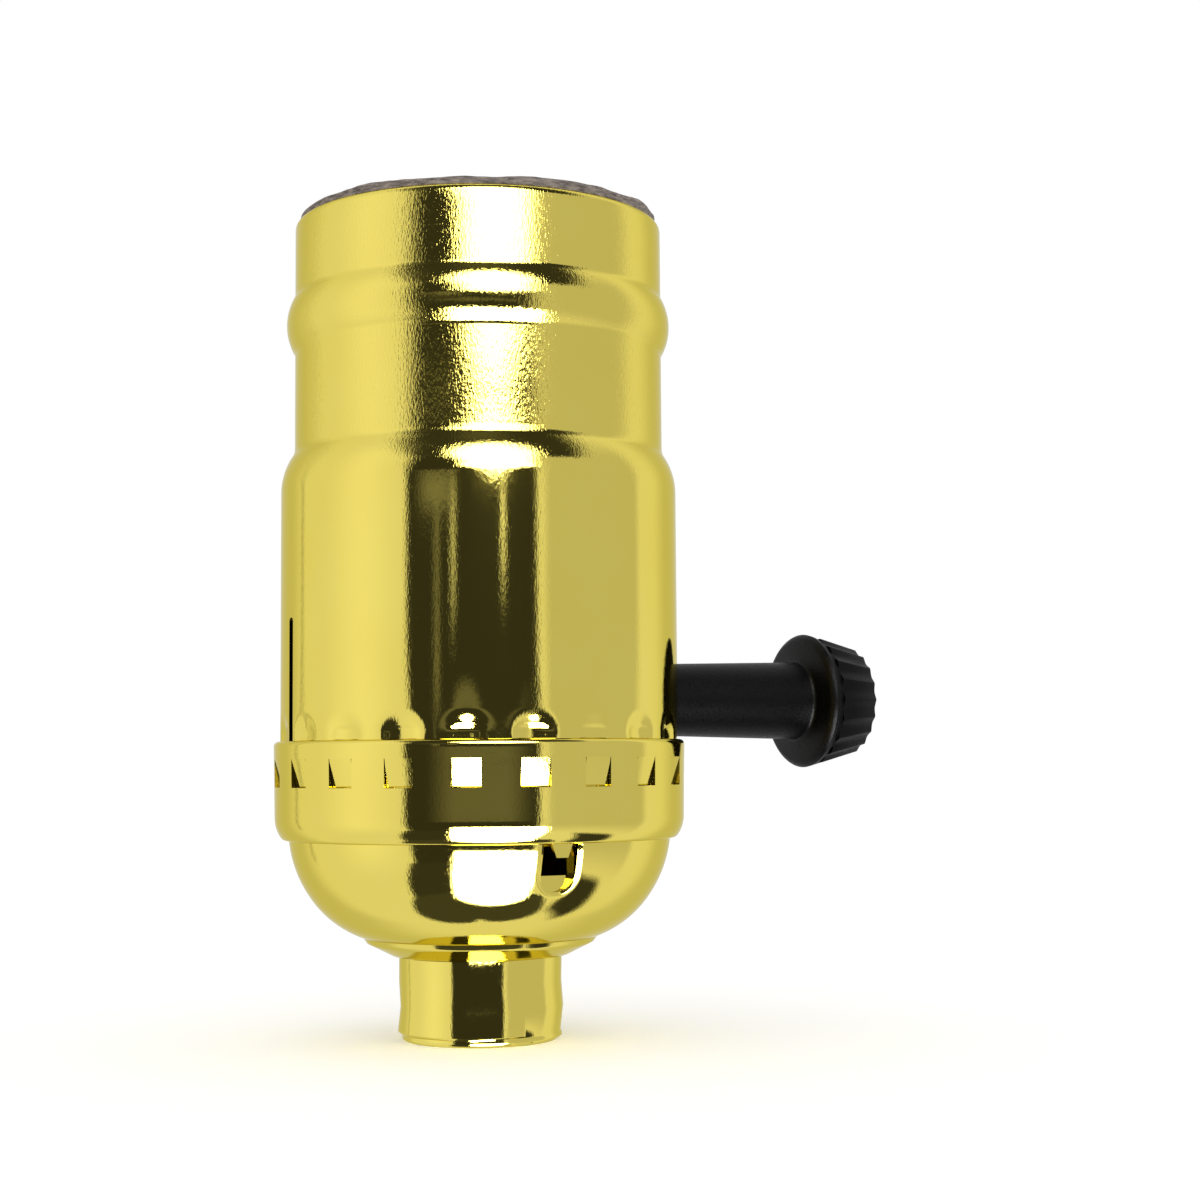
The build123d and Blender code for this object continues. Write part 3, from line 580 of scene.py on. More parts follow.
@dataclass(frozen=True)
class VulcanisedFibre(Finish):
    """Grey-brown rolled fibre board: matt, with matted strands that show at its cut edge."""

    name: str = "vulcanised_fibre"
    colour: str = "3B2E2A"
    roughness: float = 0.85
    other: str = "94887F"
    grain_mm: float = 0.35        # thickness of a strand
    grain_stretch: tuple[float, float, float] = (0.6, 0.6, 2.4)  # they lie round the roll
    grain_detail: float = 5.0
    grain_roughness: float = 0.65
    grain_range: tuple[float, float] = (0.35, 0.68)
    grain_height_mm: float = 0.08
    depth: float = 0.6


@dataclass
class DrawnShell:
    """The upper shell: one drawn sheet with a shoulder, a rolled bead and pads at its foot."""

    columns: int = 360
    sheet: float = 0.4
    foot: float = 19.2
    barrel_radius: float = 18.4
    upper_radius: float = 17.15
    crease: float = 54.0
    crease_round: float = 0.6     # how far the crease above the shoulder is filled out
    crease_steps: int = 6
    shoulder_radius: float = 6.0
    bead: float = 66.05
    bead_half: float = 2.65
    bead_height: float = 0.77
    bead_step: float = 0.2        # short faces beside the bead keep its creases crisp
    rim: float = 75.7
    rim_round: float = 0.65
    pad_count: int = 20
    pad_first: float = 9.0
    pad_width: float = 3.15
    pad_low: float = 22.9
    pad_high: float = 28.5
    pad_margins: tuple[float, float] = (0.6, 1.5)   # of fine rows of faces, below and above
    pad_corner: float = 0.7
    pad_depth: float = 0.55
    pad_wall: tuple[float, float] = (0.05, 0.22)    # start outside the pad's edge, and width
    pad_top_share: float = 0.15   # of its depth that a pad still has above the collar
    pad_fade: float = 27.5
    dish_depth: float = 0.33      # shallow dish that pressing leaves round each pad
    dish_middle: float = 28.0
    dish_half: tuple[float, float] = (2.6, 2.3)
    notch_radius: float = 4.1
    slit_half: float = 0.5
    slit_top: float = 38.45
    slit_round: float = 0.38
    cut_past: float = 2.0         # how far the notch and the slit are cut past the foot

    def outline(self) -> Outline:
        """Draw the outer face.

        Returns:
            Its outline, from the foot to the rim.
        """
        step_in = self.shoulder_radius - self.barrel_radius + self.upper_radius
        drop = math.sqrt(self.shoulder_radius**2 - step_in**2)
        sweep = math.degrees(math.acos(step_in / self.shoulder_radius))
        below, above = self.pad_margins
        side = Outline([(self.barrel_radius, self.foot)])
        side.line_to(self.barrel_radius, self.pad_low - below, 6)
        side.line_to(self.barrel_radius, self.pad_high + above, 44)
        side.line_to(self.barrel_radius, self.crease - drop, 5)
        side.turn_about(self.barrel_radius - self.shoulder_radius, self.crease - drop, sweep, 10)
        corner = Vector(side.points.pop())
        start = Vector(side.points[-1])
        end = Vector((self.upper_radius, self.crease + self.crease_round))
        for step in range(1, self.crease_steps + 1):
            share = step / self.crease_steps
            side.line_to(*start.lerp(corner, share).lerp(corner.lerp(end, share), share))
        side.line_to(self.upper_radius, self.bead - self.bead_half - self.bead_step, 3)
        reach = (self.bead_half**2 + self.bead_height**2) / (2.0 * self.bead_height)
        half = math.degrees(math.asin(self.bead_half / reach))
        side.line_to(self.upper_radius, self.bead - self.bead_half)
        side.turn_about(self.upper_radius + self.bead_height - reach, self.bead, 2.0 * half, 14)
        side.line_to(self.upper_radius, self.bead + self.bead_half + self.bead_step)
        side.line_to(self.upper_radius, self.rim - self.rim_round, 3)
        side.turn_about(self.upper_radius - self.rim_round, self.rim - self.rim_round, 90.0, 4)
        return side

    def across_pad(self, angle: float) -> float:
        """Give the way to an angle from the middle of the nearest pad, in millimetres."""
        turn = math.radians(sector_angle(angle, self.pad_count, self.pad_first))
        return turn * self.barrel_radius

    def pad_weight(self, angle: float, height: float) -> float:
        """Say how deep a pad is at a place.

        Args:
            angle: The place's angle in degrees.
            height: Its height in millimetres.

        Returns:
            A share of the pad's depth.
        """
        middle = (self.pad_low + self.pad_high) / 2.0
        over_side = abs(self.across_pad(angle)) - self.pad_width / 2.0 + self.pad_corner
        over_end = abs(height - middle) - (self.pad_high - self.pad_low) / 2.0 + self.pad_corner
        outside = math.hypot(max(over_side, 0.0), max(over_end, 0.0))
        reach = outside + min(max(over_side, over_end), 0.0) - self.pad_corner
        fading = ease(self.pad_fade - height)
        slope = self.pad_top_share + (1.0 - self.pad_top_share) * fading
        wall_start, wall_width = self.pad_wall
        return slope * ease((wall_start - reach) / wall_width)

    def dish_weight(self, angle: float, height: float) -> float:
        """Say how deep the dish round a pad is at a place.

        Args:
            angle: The place's angle in degrees.
            height: Its height in millimetres.

        Returns:
            A share of the dish's depth.
        """
        half_width, half_height = self.dish_half
        across = self.across_pad(angle) / half_width
        return ease(1.0 - math.hypot(across, (height - self.dish_middle) / half_height))

    def cut_slit(self, shell: bpy.types.Object) -> None:
        """Cut the narrow slit opposite the knob, which lets the foot spring into the cap.

        Args:
            shell: The shell to cut.
        """
        low = self.foot - self.cut_past
        tool = cutting_block(-self.barrel_radius, self.slit_half, low, self.slit_top)
        settle(tool, "slit_tool")
        apply_modifier(
            tool, "BEVEL", width=self.slit_round * MM, segments=4, limit_method="ANGLE"
        )
        cut(shell, tool)

    def build(self) -> bpy.types.Object:
        """Model the shell.

        Returns:
            The finished piece.
        """
        shell = spun("drawn_shell", self.outline(), self.columns)
        press(shell, -self.dish_depth, self.dish_weight)
        press(shell, -self.pad_depth, self.pad_weight)
        thicken(shell, self.sheet)
        cut_stem_notch(shell, self.barrel_radius, self.notch_radius, self.foot - self.cut_past)
        self.cut_slit(shell)
        smooth(shell)
        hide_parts("shell")
        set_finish(shell, "plated_brass")
        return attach(shell, Body.SOCKET.value)


@dataclass
class SnapCap:
    """The lower cap: a drawn dome and a collar, with lanced snap tabs and one pressed pocket."""

    columns: int = 360
    sheet: float = 0.4
    seat: float = 7.75
    spigot_radius: float = 6.4
    seat_radius: float = 8.13
    boss_radius: float = 10.45
    boss_top: float = 8.9
    dome_foot: tuple[float, float] = (10.81, 9.4)
    dome_radius: float = 17.6
    dome_side: float = 11.1
    dome_bend_start: float = 1.1  # its side starts to bend in this far above the collar's foot
    dome_sweep: float = 34.3      # from level, to where another arc takes over
    dome_step: tuple[float, float] = (0.12, 0.02)  # the collar ends this far outside and above it
    foot: float = 18.4
    collar_radius: float = 18.9
    collar_flare: float = 0.1
    collar_top: float = 27.4
    edge_round: float = 0.45
    foot_bend: tuple[float, float] = (3.2, 35.0)   # radius and turn where the collar draws in
    foot_round: tuple[float, float] = (0.5, 45.0)  # and where it turns under
    window_count: int = 20
    window_first: float = 9.0
    window_half_deg: float = 4.0
    sill: float = 23.25
    head: float = 25.78
    tab_press: float = 0.42
    tab_side_gap: float = 0.06
    pocket_width: float = 3.3
    pocket_low: float = 14.2
    pocket_gap: float = 0.02      # between its upper end and the collar's foot
    pocket_depth: float = 1.9
    pocket_cut_end: float = -12.0
    pocket_steps: int = 20        # straight pieces round its lower end
    pocket_sill: float = 15.6
    pocket_side: float = 0.35
    over_cut: float = 1.0         # how far a cutting prism stands out of what it cuts
    lip_width: float = 0.6        # the dome bends in over this much before the pocket's wall
    lip_depth: float = 0.26
    lip_cuts: int = 3
    lip_margin: float = 0.4       # of finer faces round the lip
    lip_reach: tuple[float, float] = (0.3, 0.1)  # past the finer faces, and off the dome's face
    tab_widths: tuple[float, float] = (2.0, 1.1)
    tab_length: float = 1.2
    tab_inset: float = 0.02

    @property
    def dome_centre(self) -> tuple[float, float]:
        """The centre of the arc that the dome's side follows."""
        level = math.sqrt(self.dome_side**2 - self.dome_bend_start**2)
        return self.dome_radius - level, self.foot + self.dome_bend_start

    def down_dome(self, side: Outline) -> Outline:
        """Take an outline down the arc of the dome's side."""
        started = math.degrees(math.asin(self.dome_bend_start / self.dome_side))
        return side.turn_about(*self.dome_centre, started - self.dome_sweep, 14)

    def dome(self) -> Outline:
        """Draw the dome's outer face, from under the collar in to the raised ring."""
        side = self.down_dome(Outline([(self.dome_radius, self.foot)]))
        return side.bend_to(*self.dome_foot, 12)

    def outline(self) -> Outline:
        """Draw the outer face.

        Returns:
            Its outline, from the collar's edge down to the hub.
        """
        bend, bend_turn = self.foot_bend
        under, under_turn = self.foot_round
        start = math.radians(bend_turn)
        end = math.radians(bend_turn + under_turn)
        rise = bend * math.sin(start) + under * (math.sin(end) - math.sin(start))
        lean = self.collar_flare / (self.collar_top - self.foot - rise)
        edge = self.collar_radius + self.collar_flare
        side = Outline([(edge - self.edge_round, self.collar_top)])
        side.turn_about(edge - self.edge_round, self.collar_top - self.edge_round, -90.0, 7)
        for level, pieces in ((self.head, 4), (self.sill, 6)):
            side.line_to(self.collar_radius + lean * (level - self.foot - rise), level, pieces)
        side.line_to(self.collar_radius, self.foot + rise, 4)
        side.turn_about(self.collar_radius - bend, self.foot + rise, -bend_turn, 12)
        radius, height = side.points[-1]
        side.turn_about(
            radius - under * math.cos(start), height + under * math.sin(start), -under_turn, 6
        )
        step_out, step_up = self.dome_step
        side.line_to(self.dome_radius + step_out, self.foot + step_up, 2)
        side.points.extend(self.dome().points)
        side.line_to(self.boss_radius, self.boss_top, 3)
        side.line_to(self.seat_radius, self.seat, 5)
        side.line_to(self.spigot_radius, self.seat, 2)
        return side

    def across_window(self, angle: float) -> float:
        """Give the angle from the middle of the nearest window, in degrees."""
        return sector_angle(angle, self.window_count, self.window_first)

    def in_window(self, middle: Vector) -> bool:
        """Tell whether a face of the collar lies in one of the windows."""
        _, angle, height = polar(middle)
        return abs(self.across_window(angle)) < self.window_half_deg and (
            self.sill < height < self.head
        )

    def lean_tabs(self, tabs: bpy.types.Object) -> None:
        """Push the tabs' lower edges in, and draw their sides off the windows.

        Args:
            tabs: The faces that were parted from the windows.
        """
        gap = math.degrees(self.tab_side_gap / self.collar_radius)
        for vertex in tabs.data.vertices:
            radius, angle, height = polar(vertex.co)
            share = (self.head - height) / (self.head - self.sill)
            angle -= gap * self.across_window(angle) / self.window_half_deg
            turn_to(vertex, radius - self.tab_press * share, angle)
            vertex.co.z += self.tab_side_gap * MM * share

    def pocket_edge(self, grow: float) -> list[tuple[float, float]]:
        """Draw the pocket's U-shaped edge.

        Args:
            grow: How far outside the pocket it runs, in millimetres.

        Returns:
            Its corners as (x, z) in millimetres.
        """
        half = self.pocket_width / 2.0
        middle = self.pocket_low + half
        top = self.foot - self.pocket_gap + grow
        turn = [math.pi * step / self.pocket_steps for step in range(self.pocket_steps + 1)]
        arc = [
            ((half + grow) * math.cos(angle), middle - (half + grow) * math.sin(angle))
            for angle in turn
        ]
        return [(half + grow, top), *arc, (-half - grow, top)]

    def taper(
        self, top: float, half_top: float, low: float, half_low: float
    ) -> list[tuple[float, float]]:
        """Draw a four-sided edge with its middle on the pocket's middle line.

        Args:
            top: The height of its upper side, in millimetres.
            half_top: Half of the upper side.
            low: The height of its lower side.
            half_low: Half of the lower side.

        Returns:
            Its corners as (x, z) in millimetres.
        """
        return [(half_top, top), (half_low, low), (-half_low, low), (-half_top, top)]

    def prism(self, edge: list[tuple[float, float]], low: float, high: float) -> bpy.types.Object:
        """Extrude a closed edge along Y.

        Args:
            edge: The corners as (x, z) in millimetres.
            low: The start along Y, in millimetres.
            high: The end along Y, in millimetres.

        Returns:
            The closed prism.
        """
        deselect_all()
        bpy.ops.mesh.primitive_circle_add(
            vertices=len(edge), radius=MM, fill_type="NGON", rotation=(math.pi / 2.0, 0.0, 0.0)
        )
        prism = bpy.context.active_object
        settle(prism, "prism")
        for vertex, (across, height) in zip(prism.data.vertices, edge):
            vertex.co = Vector((across * MM, low * MM, height * MM))
        bpy.ops.object.mode_set(mode="EDIT")
        bpy.ops.mesh.select_all(action="SELECT")
        bpy.ops.mesh.extrude_region_move(
            TRANSFORM_OT_translate={"value": (0.0, (high - low) * MM, 0.0)}
        )
        bpy.ops.mesh.select_all(action="SELECT")
        bpy.ops.mesh.normals_make_consistent(inside=False)
        bpy.ops.object.mode_set(mode="OBJECT")
        return prism

    def dome_core(self) -> bpy.types.Object:
        """Build what the dome's outer face bounds, less the depth of the pocket's lip.

        Returns:
            The closed solid.
        """
        side = Outline([(0.0, self.foot), (self.dome_radius - self.lip_depth, self.foot)])
        self.down_dome(side).line_to(0.0, side.points[-1][1])
        return spun("dome_core", side, self.columns)

    def bend_lip(self, cap: bpy.types.Object) -> None:
        """Bend the dome in round the pocket's edge, on a finer patch of its faces.

        Args:
            cap: The cap's outer face.
        """
        half = self.pocket_width / 2.0
        middle = self.pocket_low + half
        wide = half + self.lip_width + self.lip_margin
        low = self.pocket_low - self.lip_width - self.lip_margin
        choose_faces(
            cap,
            lambda place: place.y < 0.0
            and abs(place.x) < wide * MM
            and low * MM < place.z < self.foot * MM
            and math.hypot(place.x, place.y) < self.dome_radius * MM + NEAR,
        )
        bpy.ops.mesh.subdivide(number_cuts=self.lip_cuts)
        bpy.ops.object.mode_set(mode="OBJECT")
        past, off_face = self.lip_reach
        centre_radius, centre_height = self.dome_centre
        for vertex in cap.data.vertices:
            across = abs(vertex.co.x / MM)
            at, angle, height = polar(vertex.co)
            if vertex.co.y > 0.0 or across > wide + past or not low < height < self.foot:
                continue
            radius = centre_radius + math.sqrt(self.dome_side**2 - (centre_height - height) ** 2)
            if abs(at - radius) > off_face:
                continue
            if height > middle:
                away = across - half
            else:
                away = math.hypot(across, height - middle) - half
            share = min(1.0, max(0.0, 1.0 - away / self.lip_width)) ** 2
            turn_to(vertex, radius - self.lip_depth * share, angle)

    def pocket(self) -> bpy.types.Object:
        """Model the pressed pocket: a cup with a window in its floor and a tab over it.

        Returns:
            The cup and its tab.
        """
        floor = -(self.dome_radius - self.pocket_depth)
        side = self.pocket_width / 2.0 - self.pocket_side
        face = -self.dome_radius
        cup = self.prism(
            self.pocket_edge(self.sheet / 2), face - self.over_cut, floor + self.sheet
        )
        cut(cup, self.prism(self.pocket_edge(0.0), face - 2.0 * self.over_cut, floor))
        window = self.taper(self.foot - self.sheet, side, self.pocket_sill, side)
        cut(cup, self.prism(window, floor - self.over_cut, floor + self.over_cut))
        cut(cup, self.dome_core(), "INTERSECT")
        wide, narrow = self.tab_widths
        tab_edge = self.taper(self.foot, wide / 2.0, self.foot - self.tab_length, narrow / 2.0)
        tab = self.prism(tab_edge, face + self.tab_inset, face + self.sheet)
        return joined(cup, tab)

    def build(self) -> bpy.types.Object:
        """Model the cap.

        Returns:
            The finished piece.
        """
        cap = spun("snap_cap", self.outline(), self.columns)
        tabs = lift_off(cap, self.in_window)
        self.lean_tabs(tabs)
        self.bend_lip(cap)
        thicken(cap, self.sheet)
        thicken(tabs, self.sheet)
        outside = -self.dome_radius - 2.0 * self.over_cut
        cut(cap, self.prism(self.pocket_edge(0.0), outside, self.pocket_cut_end))
        joined(cap, tabs, self.pocket())
        smooth(cap)
        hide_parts("cap")
        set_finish(cap, "plated_brass")
        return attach(cap, Body.SOCKET.value)


@dataclass
class TurnedHub:
    """The hub: a turned bush with a fine pipe thread in its bore, flared over inside the cap."""

    columns: int = 192
    radius: float = 7.63
    height: float = 7.75
    edge_round: float = 0.9
    shoulder_chamfer: float = 0.08
    spigot_radius: float = 6.4
    flare_radius: float = 7.5
    flare_rise: tuple[float, float] = (0.4, 0.45)  # of its under side, at the spigot and outside
    flare_chamfer: float = 0.4
    top: float = 9.05
    bore: float = 4.45
    thread_pitch: float = 0.94
    thread_depth: float = 0.3
    thread_start: float = 0.05
    thread_fade: float = 0.3      # the thread reaches its depth over this length

    def thread_weight(self, angle: float, height: float) -> float:
        """Say how deep the thread in the bore is at a place.

        Args:
            angle: The place's angle in degrees.
            height: Its height in millimetres.

        Returns:
            A share of the thread's depth.
        """
        phase = (height / self.thread_pitch - angle / 360.0) % 1.0
        start = ease((height - self.thread_start) / self.thread_fade)
        end = ease((self.top - self.thread_start - height) / self.thread_fade)
        return abs(2.0 * phase - 1.0) * (start * end)

    def build(self) -> bpy.types.Object:
        """Model the hub with its thread.

        Returns:
            The finished piece.
        """
        flare_inside, flare_outside = self.flare_rise
        side = Outline([(self.bore, 0.0), (self.radius - self.edge_round, 0.0)])
        side.turn_about(self.radius - self.edge_round, self.edge_round, 90.0, 8)
        side.line_to(self.radius, self.height - self.shoulder_chamfer, 3)
        side.line_to(self.radius - self.shoulder_chamfer, self.height)
        side.line_to(self.spigot_radius, self.height)
        side.line_to(self.spigot_radius, self.height + flare_inside)
        side.line_to(self.flare_radius, self.height + flare_outside)
        side.line_to(self.flare_radius, self.top - self.flare_chamfer)
        side.line_to(self.flare_radius - self.flare_chamfer, self.top)
        side.line_to(self.bore, self.top)
        side.line_to(self.bore, 0.0, 80)
        hub = spun("threaded_hub", side, self.columns)
        press(hub, -self.thread_depth, self.thread_weight)
        smooth(hub, 40.0)
        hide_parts("hub")
        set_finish(hub, "plated_brass")
        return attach(hub, Body.SOCKET.value)


def socket_finishes() -> dict[str, bpy.types.Material]:
    """Build every finish once, by the record's slot names."""
    finishes = {
        "plated_brass": PolishedBrassPlate(),
        "contact_brass": PlainMetal("turned_brass", "C8A75A", 0.28),
        "aluminium": PlainMetal(
            "rolled_aluminium", "CFD0D0", 0.22, grain_mm=0.3, grain_stretch=(0.15, 0.15, 1.0)
        ),
        "nickel_plate": PlainMetal("nickel_plate", "C9C4BA", 0.22),
        "spring_steel": PlainMetal("spring_steel", "A9A9A7", 0.3),
        "fibre": VulcanisedFibre(),
        "moulding": MouldedPlastic("phenolic_moulding", "1E1613", 0.42, "2A1F1A", grain_mm=0.3),
        "rotor_plastic": MouldedPlastic(
            "nylon_moulding", "CFC3A4", 0.5, "D9CFB4", grain_mm=0.3, depth=0.1
        ),
        "knob_plastic": MouldedPlastic(
            "grained_polycarbonate", "020202", 0.4, "050506", specular=0.1, depth=0.9
        ),
    }
    return {slot: finish.material() for slot, finish in finishes.items()}


@dataclass
class FibreSleeve:
    """The insulating sleeve: rolled fibre whose cut edge shows above the shell's rim."""

    columns: int = 300
    radius: float = 16.68
    wall: float = 0.6
    foot: float = 22.0
    top: float = 76.7
    edge_zone: float = 0.6        # the ragged edge fades out this far down
    chamfer: float = 0.1
    ragged: float = 0.45
    even_drop: float = 0.25       # shares of the ragged depth: all round,
    coarse_drop: float = 0.7      # in broad waves,
    fine_drop: float = 0.15       # and in short ones
    noise_circle: float = 3.0     # radius in the noise of the circle that the edge follows
    coarse_waves: float = 1.3
    fine_waves: float = 5.0
    lean: float = 0.35            # it is cut a little lower on one side
    lean_towards: float = 165.0
    notch_radius: float = 4.5
    cut_past: float = 1.0

    def raggedness(self, angle: float) -> float:
        """Say how far the cut edge drops at a place.

        Args:
            angle: The place's angle in degrees.

        Returns:
            A share of the ragged depth.
        """
        turn = math.radians(angle)
        circle = self.noise_circle
        place = Vector((circle * math.cos(turn), circle * math.sin(turn), 0.0))
        fine = noise.noise(place * self.fine_waves) * self.fine_drop
        coarse = noise.noise(place * self.coarse_waves + Vector((4.0, 0.0, 0.0)))
        side = 0.5 + 0.5 * math.cos(math.radians(angle - self.lean_towards))
        lean = self.lean / self.ragged * side
        return max(0.0, self.even_drop + coarse * self.coarse_drop + fine + lean)

    def build(self) -> bpy.types.Object:
        """Model the sleeve.

        Returns:
            The finished piece.
        """
        inner = self.radius - self.wall
        side = Outline([(inner, self.foot), (self.radius, self.foot)])
        side.line_to(self.radius, self.top - self.edge_zone, 6)
        side.line_to(self.radius, self.top - self.chamfer, 3)
        side.line_to(self.radius - self.chamfer, self.top)
        side.line_to(inner + self.chamfer, self.top, 3)
        side.line_to(inner, self.top - self.chamfer)
        side.line_to(inner, self.top - self.edge_zone, 3)
        side.line_to(inner, self.foot, 6)
        sleeve = spun("fibre_sleeve", side, self.columns)
        for vertex in sleeve.data.vertices:
            _, angle, height = polar(vertex.co)
            over = ease((height - self.top + self.edge_zone) / self.edge_zone)
            if over > 0.0:
                vertex.co.z -= self.ragged * over * self.raggedness(angle) * MM
        cut_stem_notch(sleeve, self.radius, self.notch_radius, self.foot - self.cut_past)
        smooth(sleeve, 40.0)
        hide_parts("insulating_sleeve")
        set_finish(sleeve, "fibre")
        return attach(sleeve, Body.SOCKET.value)


@dataclass
class RolledScrewShell:
    """The screw shell: thin sheet with a smoothly rolled lamp thread and a flared lip."""

    columns: int = 240
    wall: float = 0.35
    land_radius: float = 12.9
    thread_depth: float = 0.75
    pitch: float = 3.629
    floor: float = 44.4
    corner: float = 0.7
    lip: float = 73.2
    lip_flare: float = 0.5
    lip_length: float = 1.0
    mouth_radius: float = 5.9
    foot_in: float = 0.55
    foot_top: float = 47.6
    thread_low: float = 50.0
    thread_high: float = 70.0
    thread_run_out: float = 1.0   # it starts and ends this far past its full height,
    thread_fade: float = 2.2      # and takes this much to reach its depth
    thread_phase: float = 0.9     # the first crest's height over thread_low, on the X axis

    def thread_weight(self, angle: float, height: float) -> float:
        """Say how far the rolled thread stands out at a place.

        Args:
            angle: The place's angle in degrees.
            height: Its height in millimetres.

        Returns:
            A share of the thread's depth.
        """
        phase = (height - self.thread_low - self.thread_phase) / self.pitch - angle / 360.0
        wave = 0.5 + 0.5 * math.cos(2.0 * math.pi * phase)
        rise = ease((height - self.thread_low + self.thread_run_out) / self.thread_fade)
        fall = ease((self.thread_high + self.thread_run_out - height) / self.thread_fade)
        return wave * rise * fall

    def build(self) -> bpy.types.Object:
        """Model the screw shell.

        Returns:
            The finished piece.
        """
        foot = self.land_radius - self.foot_in
        bend = foot - self.corner
        side = Outline([(self.mouth_radius, self.floor), (bend, self.floor)])
        side.turn_about(bend, self.floor + self.corner, 90.0, 6)
        side.line_to(foot, self.foot_top, 3)
        side.line_to(self.land_radius, self.foot_top + self.foot_in, 2)
        side.line_to(self.land_radius, self.thread_low - self.thread_run_out, 3)
        side.line_to(self.land_radius, self.thread_high + self.thread_run_out, 88)
        side.line_to(self.land_radius, self.lip - self.lip_length)
        side.line_to(self.land_radius + self.lip_flare, self.lip, 3)
        shell = spun("rolled_screw_shell", side, self.columns)
        press(shell, self.thread_depth, self.thread_weight)
        thicken(shell, self.wall)
        smooth(shell, 40.0)
        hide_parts("screw_shell")
        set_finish(shell, "aluminium")
        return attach(shell, Body.SOCKET.value)


@dataclass
class FlutedKnob:
    """The knob: a long tapered stem and a fluted head behind a round flange."""

    columns: int = 160
    stem_start: float = 16.3
    stem_root: float = 3.43
    stem_head: float = 3.85
    stem_chamfer: float = 0.15
    head_back: float = 34.4
    head_radius: float = 6.65
    neck_round: tuple[float, float] = (0.35, 86.0)  # radius and turn between stem and flange
    back_rise: float = 0.25       # of the flange's slightly domed back, out to its round
    back_round: tuple[float, float] = (0.75, 0.85)  # starts this far in, ends this far along
    rim_width: float = 1.3
    rim_falls: tuple[float, float, float] = (0.08, 0.2, 0.45)  # of its front edge, inwards
    rim_places: tuple[float, float, float] = (-0.1, 0.0, 0.08)  # and where, along the axis
    groove_width: float = 0.5
    flute_count: int = 20
    flute_faces: int = 8
    flute_root: float = 6.5
    flute_end: float = 5.35
    flute_depth: float = 0.32
    flute_curve: float = 1.3      # above 1, its ridges are broader than its hollows
    flute_skin: float = 0.1       # only points this near its outside are hollowed
    end: float = 40.6
    end_rings: tuple[float, float, float] = (0.35, 0.25, 2.6)  # a border, its step, the face
    end_step: float = 0.25        # how far the end face lies below its border
    edge_round: float = 0.07
    bore: float = 2.0

    @property
    def grip_start(self) -> float:
        """Where the fluted grip starts along the axis."""
        return self.head_back + self.rim_width + self.groove_width

    def outline(self) -> Outline:
        """Draw the stem and the flange.

        Returns:
            Their outline, as (radius, place along the axis) in millimetres.
        """
        neck, neck_turn = self.neck_round
        round_in, round_along = self.back_round
        rim = self.head_back + self.rim_width
        side = Outline([
            (self.bore, self.stem_start),
            (self.stem_root - self.stem_chamfer, self.stem_start),
        ])
        side.line_to(self.stem_root, self.stem_start + self.stem_chamfer, 2)
        side.line_to(self.stem_head, self.head_back - neck, 8)
        side.turn_about(self.stem_head + neck, self.head_back - neck, -neck_turn, 4)
        side.line_to(self.head_radius - round_in, self.head_back + self.back_rise, 3)
        side.bend_to(self.head_radius, self.head_back + round_along, 7)
        for fall, place, pieces in zip(self.rim_falls, self.rim_places, (2, 1, 1)):
            side.line_to(self.head_radius - fall, rim + place, pieces)
        side.line_to(self.head_radius - fall, self.grip_start)
        side.line_to(0.0, self.grip_start)
        return side

    def grip(self) -> bpy.types.Object:
        """Model the fluted grip, which narrows towards its end.

        Returns:
            The grip, along Z.
        """
        length = self.end - self.grip_start
        deselect_all()
        bpy.ops.mesh.primitive_cylinder_add(
            vertices=self.flute_count * self.flute_faces,
            radius=self.flute_root * MM,
            depth=length * MM,
            location=(0.0, 0.0, (self.grip_start + self.end) / 2.0 * MM),
        )
        grip = settle(bpy.context.active_object, "grip")
        choose_faces(grip, lambda middle: abs(middle.z - self.end * MM) < NEAR)
        border, step, face = self.end_rings
        bpy.ops.mesh.inset(thickness=border * MM)
        bpy.ops.mesh.inset(thickness=step * MM)
        bpy.ops.transform.translate(value=(0.0, 0.0, -self.end_step * MM))
        bpy.ops.mesh.inset(thickness=face * MM)
        bpy.ops.object.mode_set(mode="OBJECT")
        for vertex in grip.data.vertices:
            radius, angle, height = polar(vertex.co)
            across = abs(sector_angle(angle, self.flute_count, 0.0)) / (180.0 / self.flute_count)
            share = (height - self.grip_start) / length
            taper = 1.0 + (self.flute_end / self.flute_root - 1.0) * share
            if radius > self.flute_root - self.flute_skin:
                radius -= self.flute_depth * math.sin(math.pi / 2.0 * across) ** self.flute_curve
            turn_to(vertex, radius * taper, angle)
        apply_modifier(
            grip,
            "BEVEL",
            width=self.edge_round * MM,
            segments=2,
            limit_method="ANGLE",
            angle_limit=math.radians(30.0),
        )
        return grip

    def build(self) -> bpy.types.Object:
        """Model the knob and lay it along the shaft.

        Returns:
            The finished piece.
        """
        knob = spun("fluted_knob", self.outline(), self.columns)
        joined(knob, self.grip())
        lift = Matrix.Translation((0.0, 0.0, SHAFT_HEIGHT * MM))
        knob.matrix_world = lift @ Matrix.Rotation(math.pi / 2.0, 4, "Y")
        settle(knob, "fluted_knob")
        smooth(knob, 30.0)
        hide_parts("knob")
        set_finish(knob, "knob_plastic")
        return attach(knob, Body.TURNING.value)


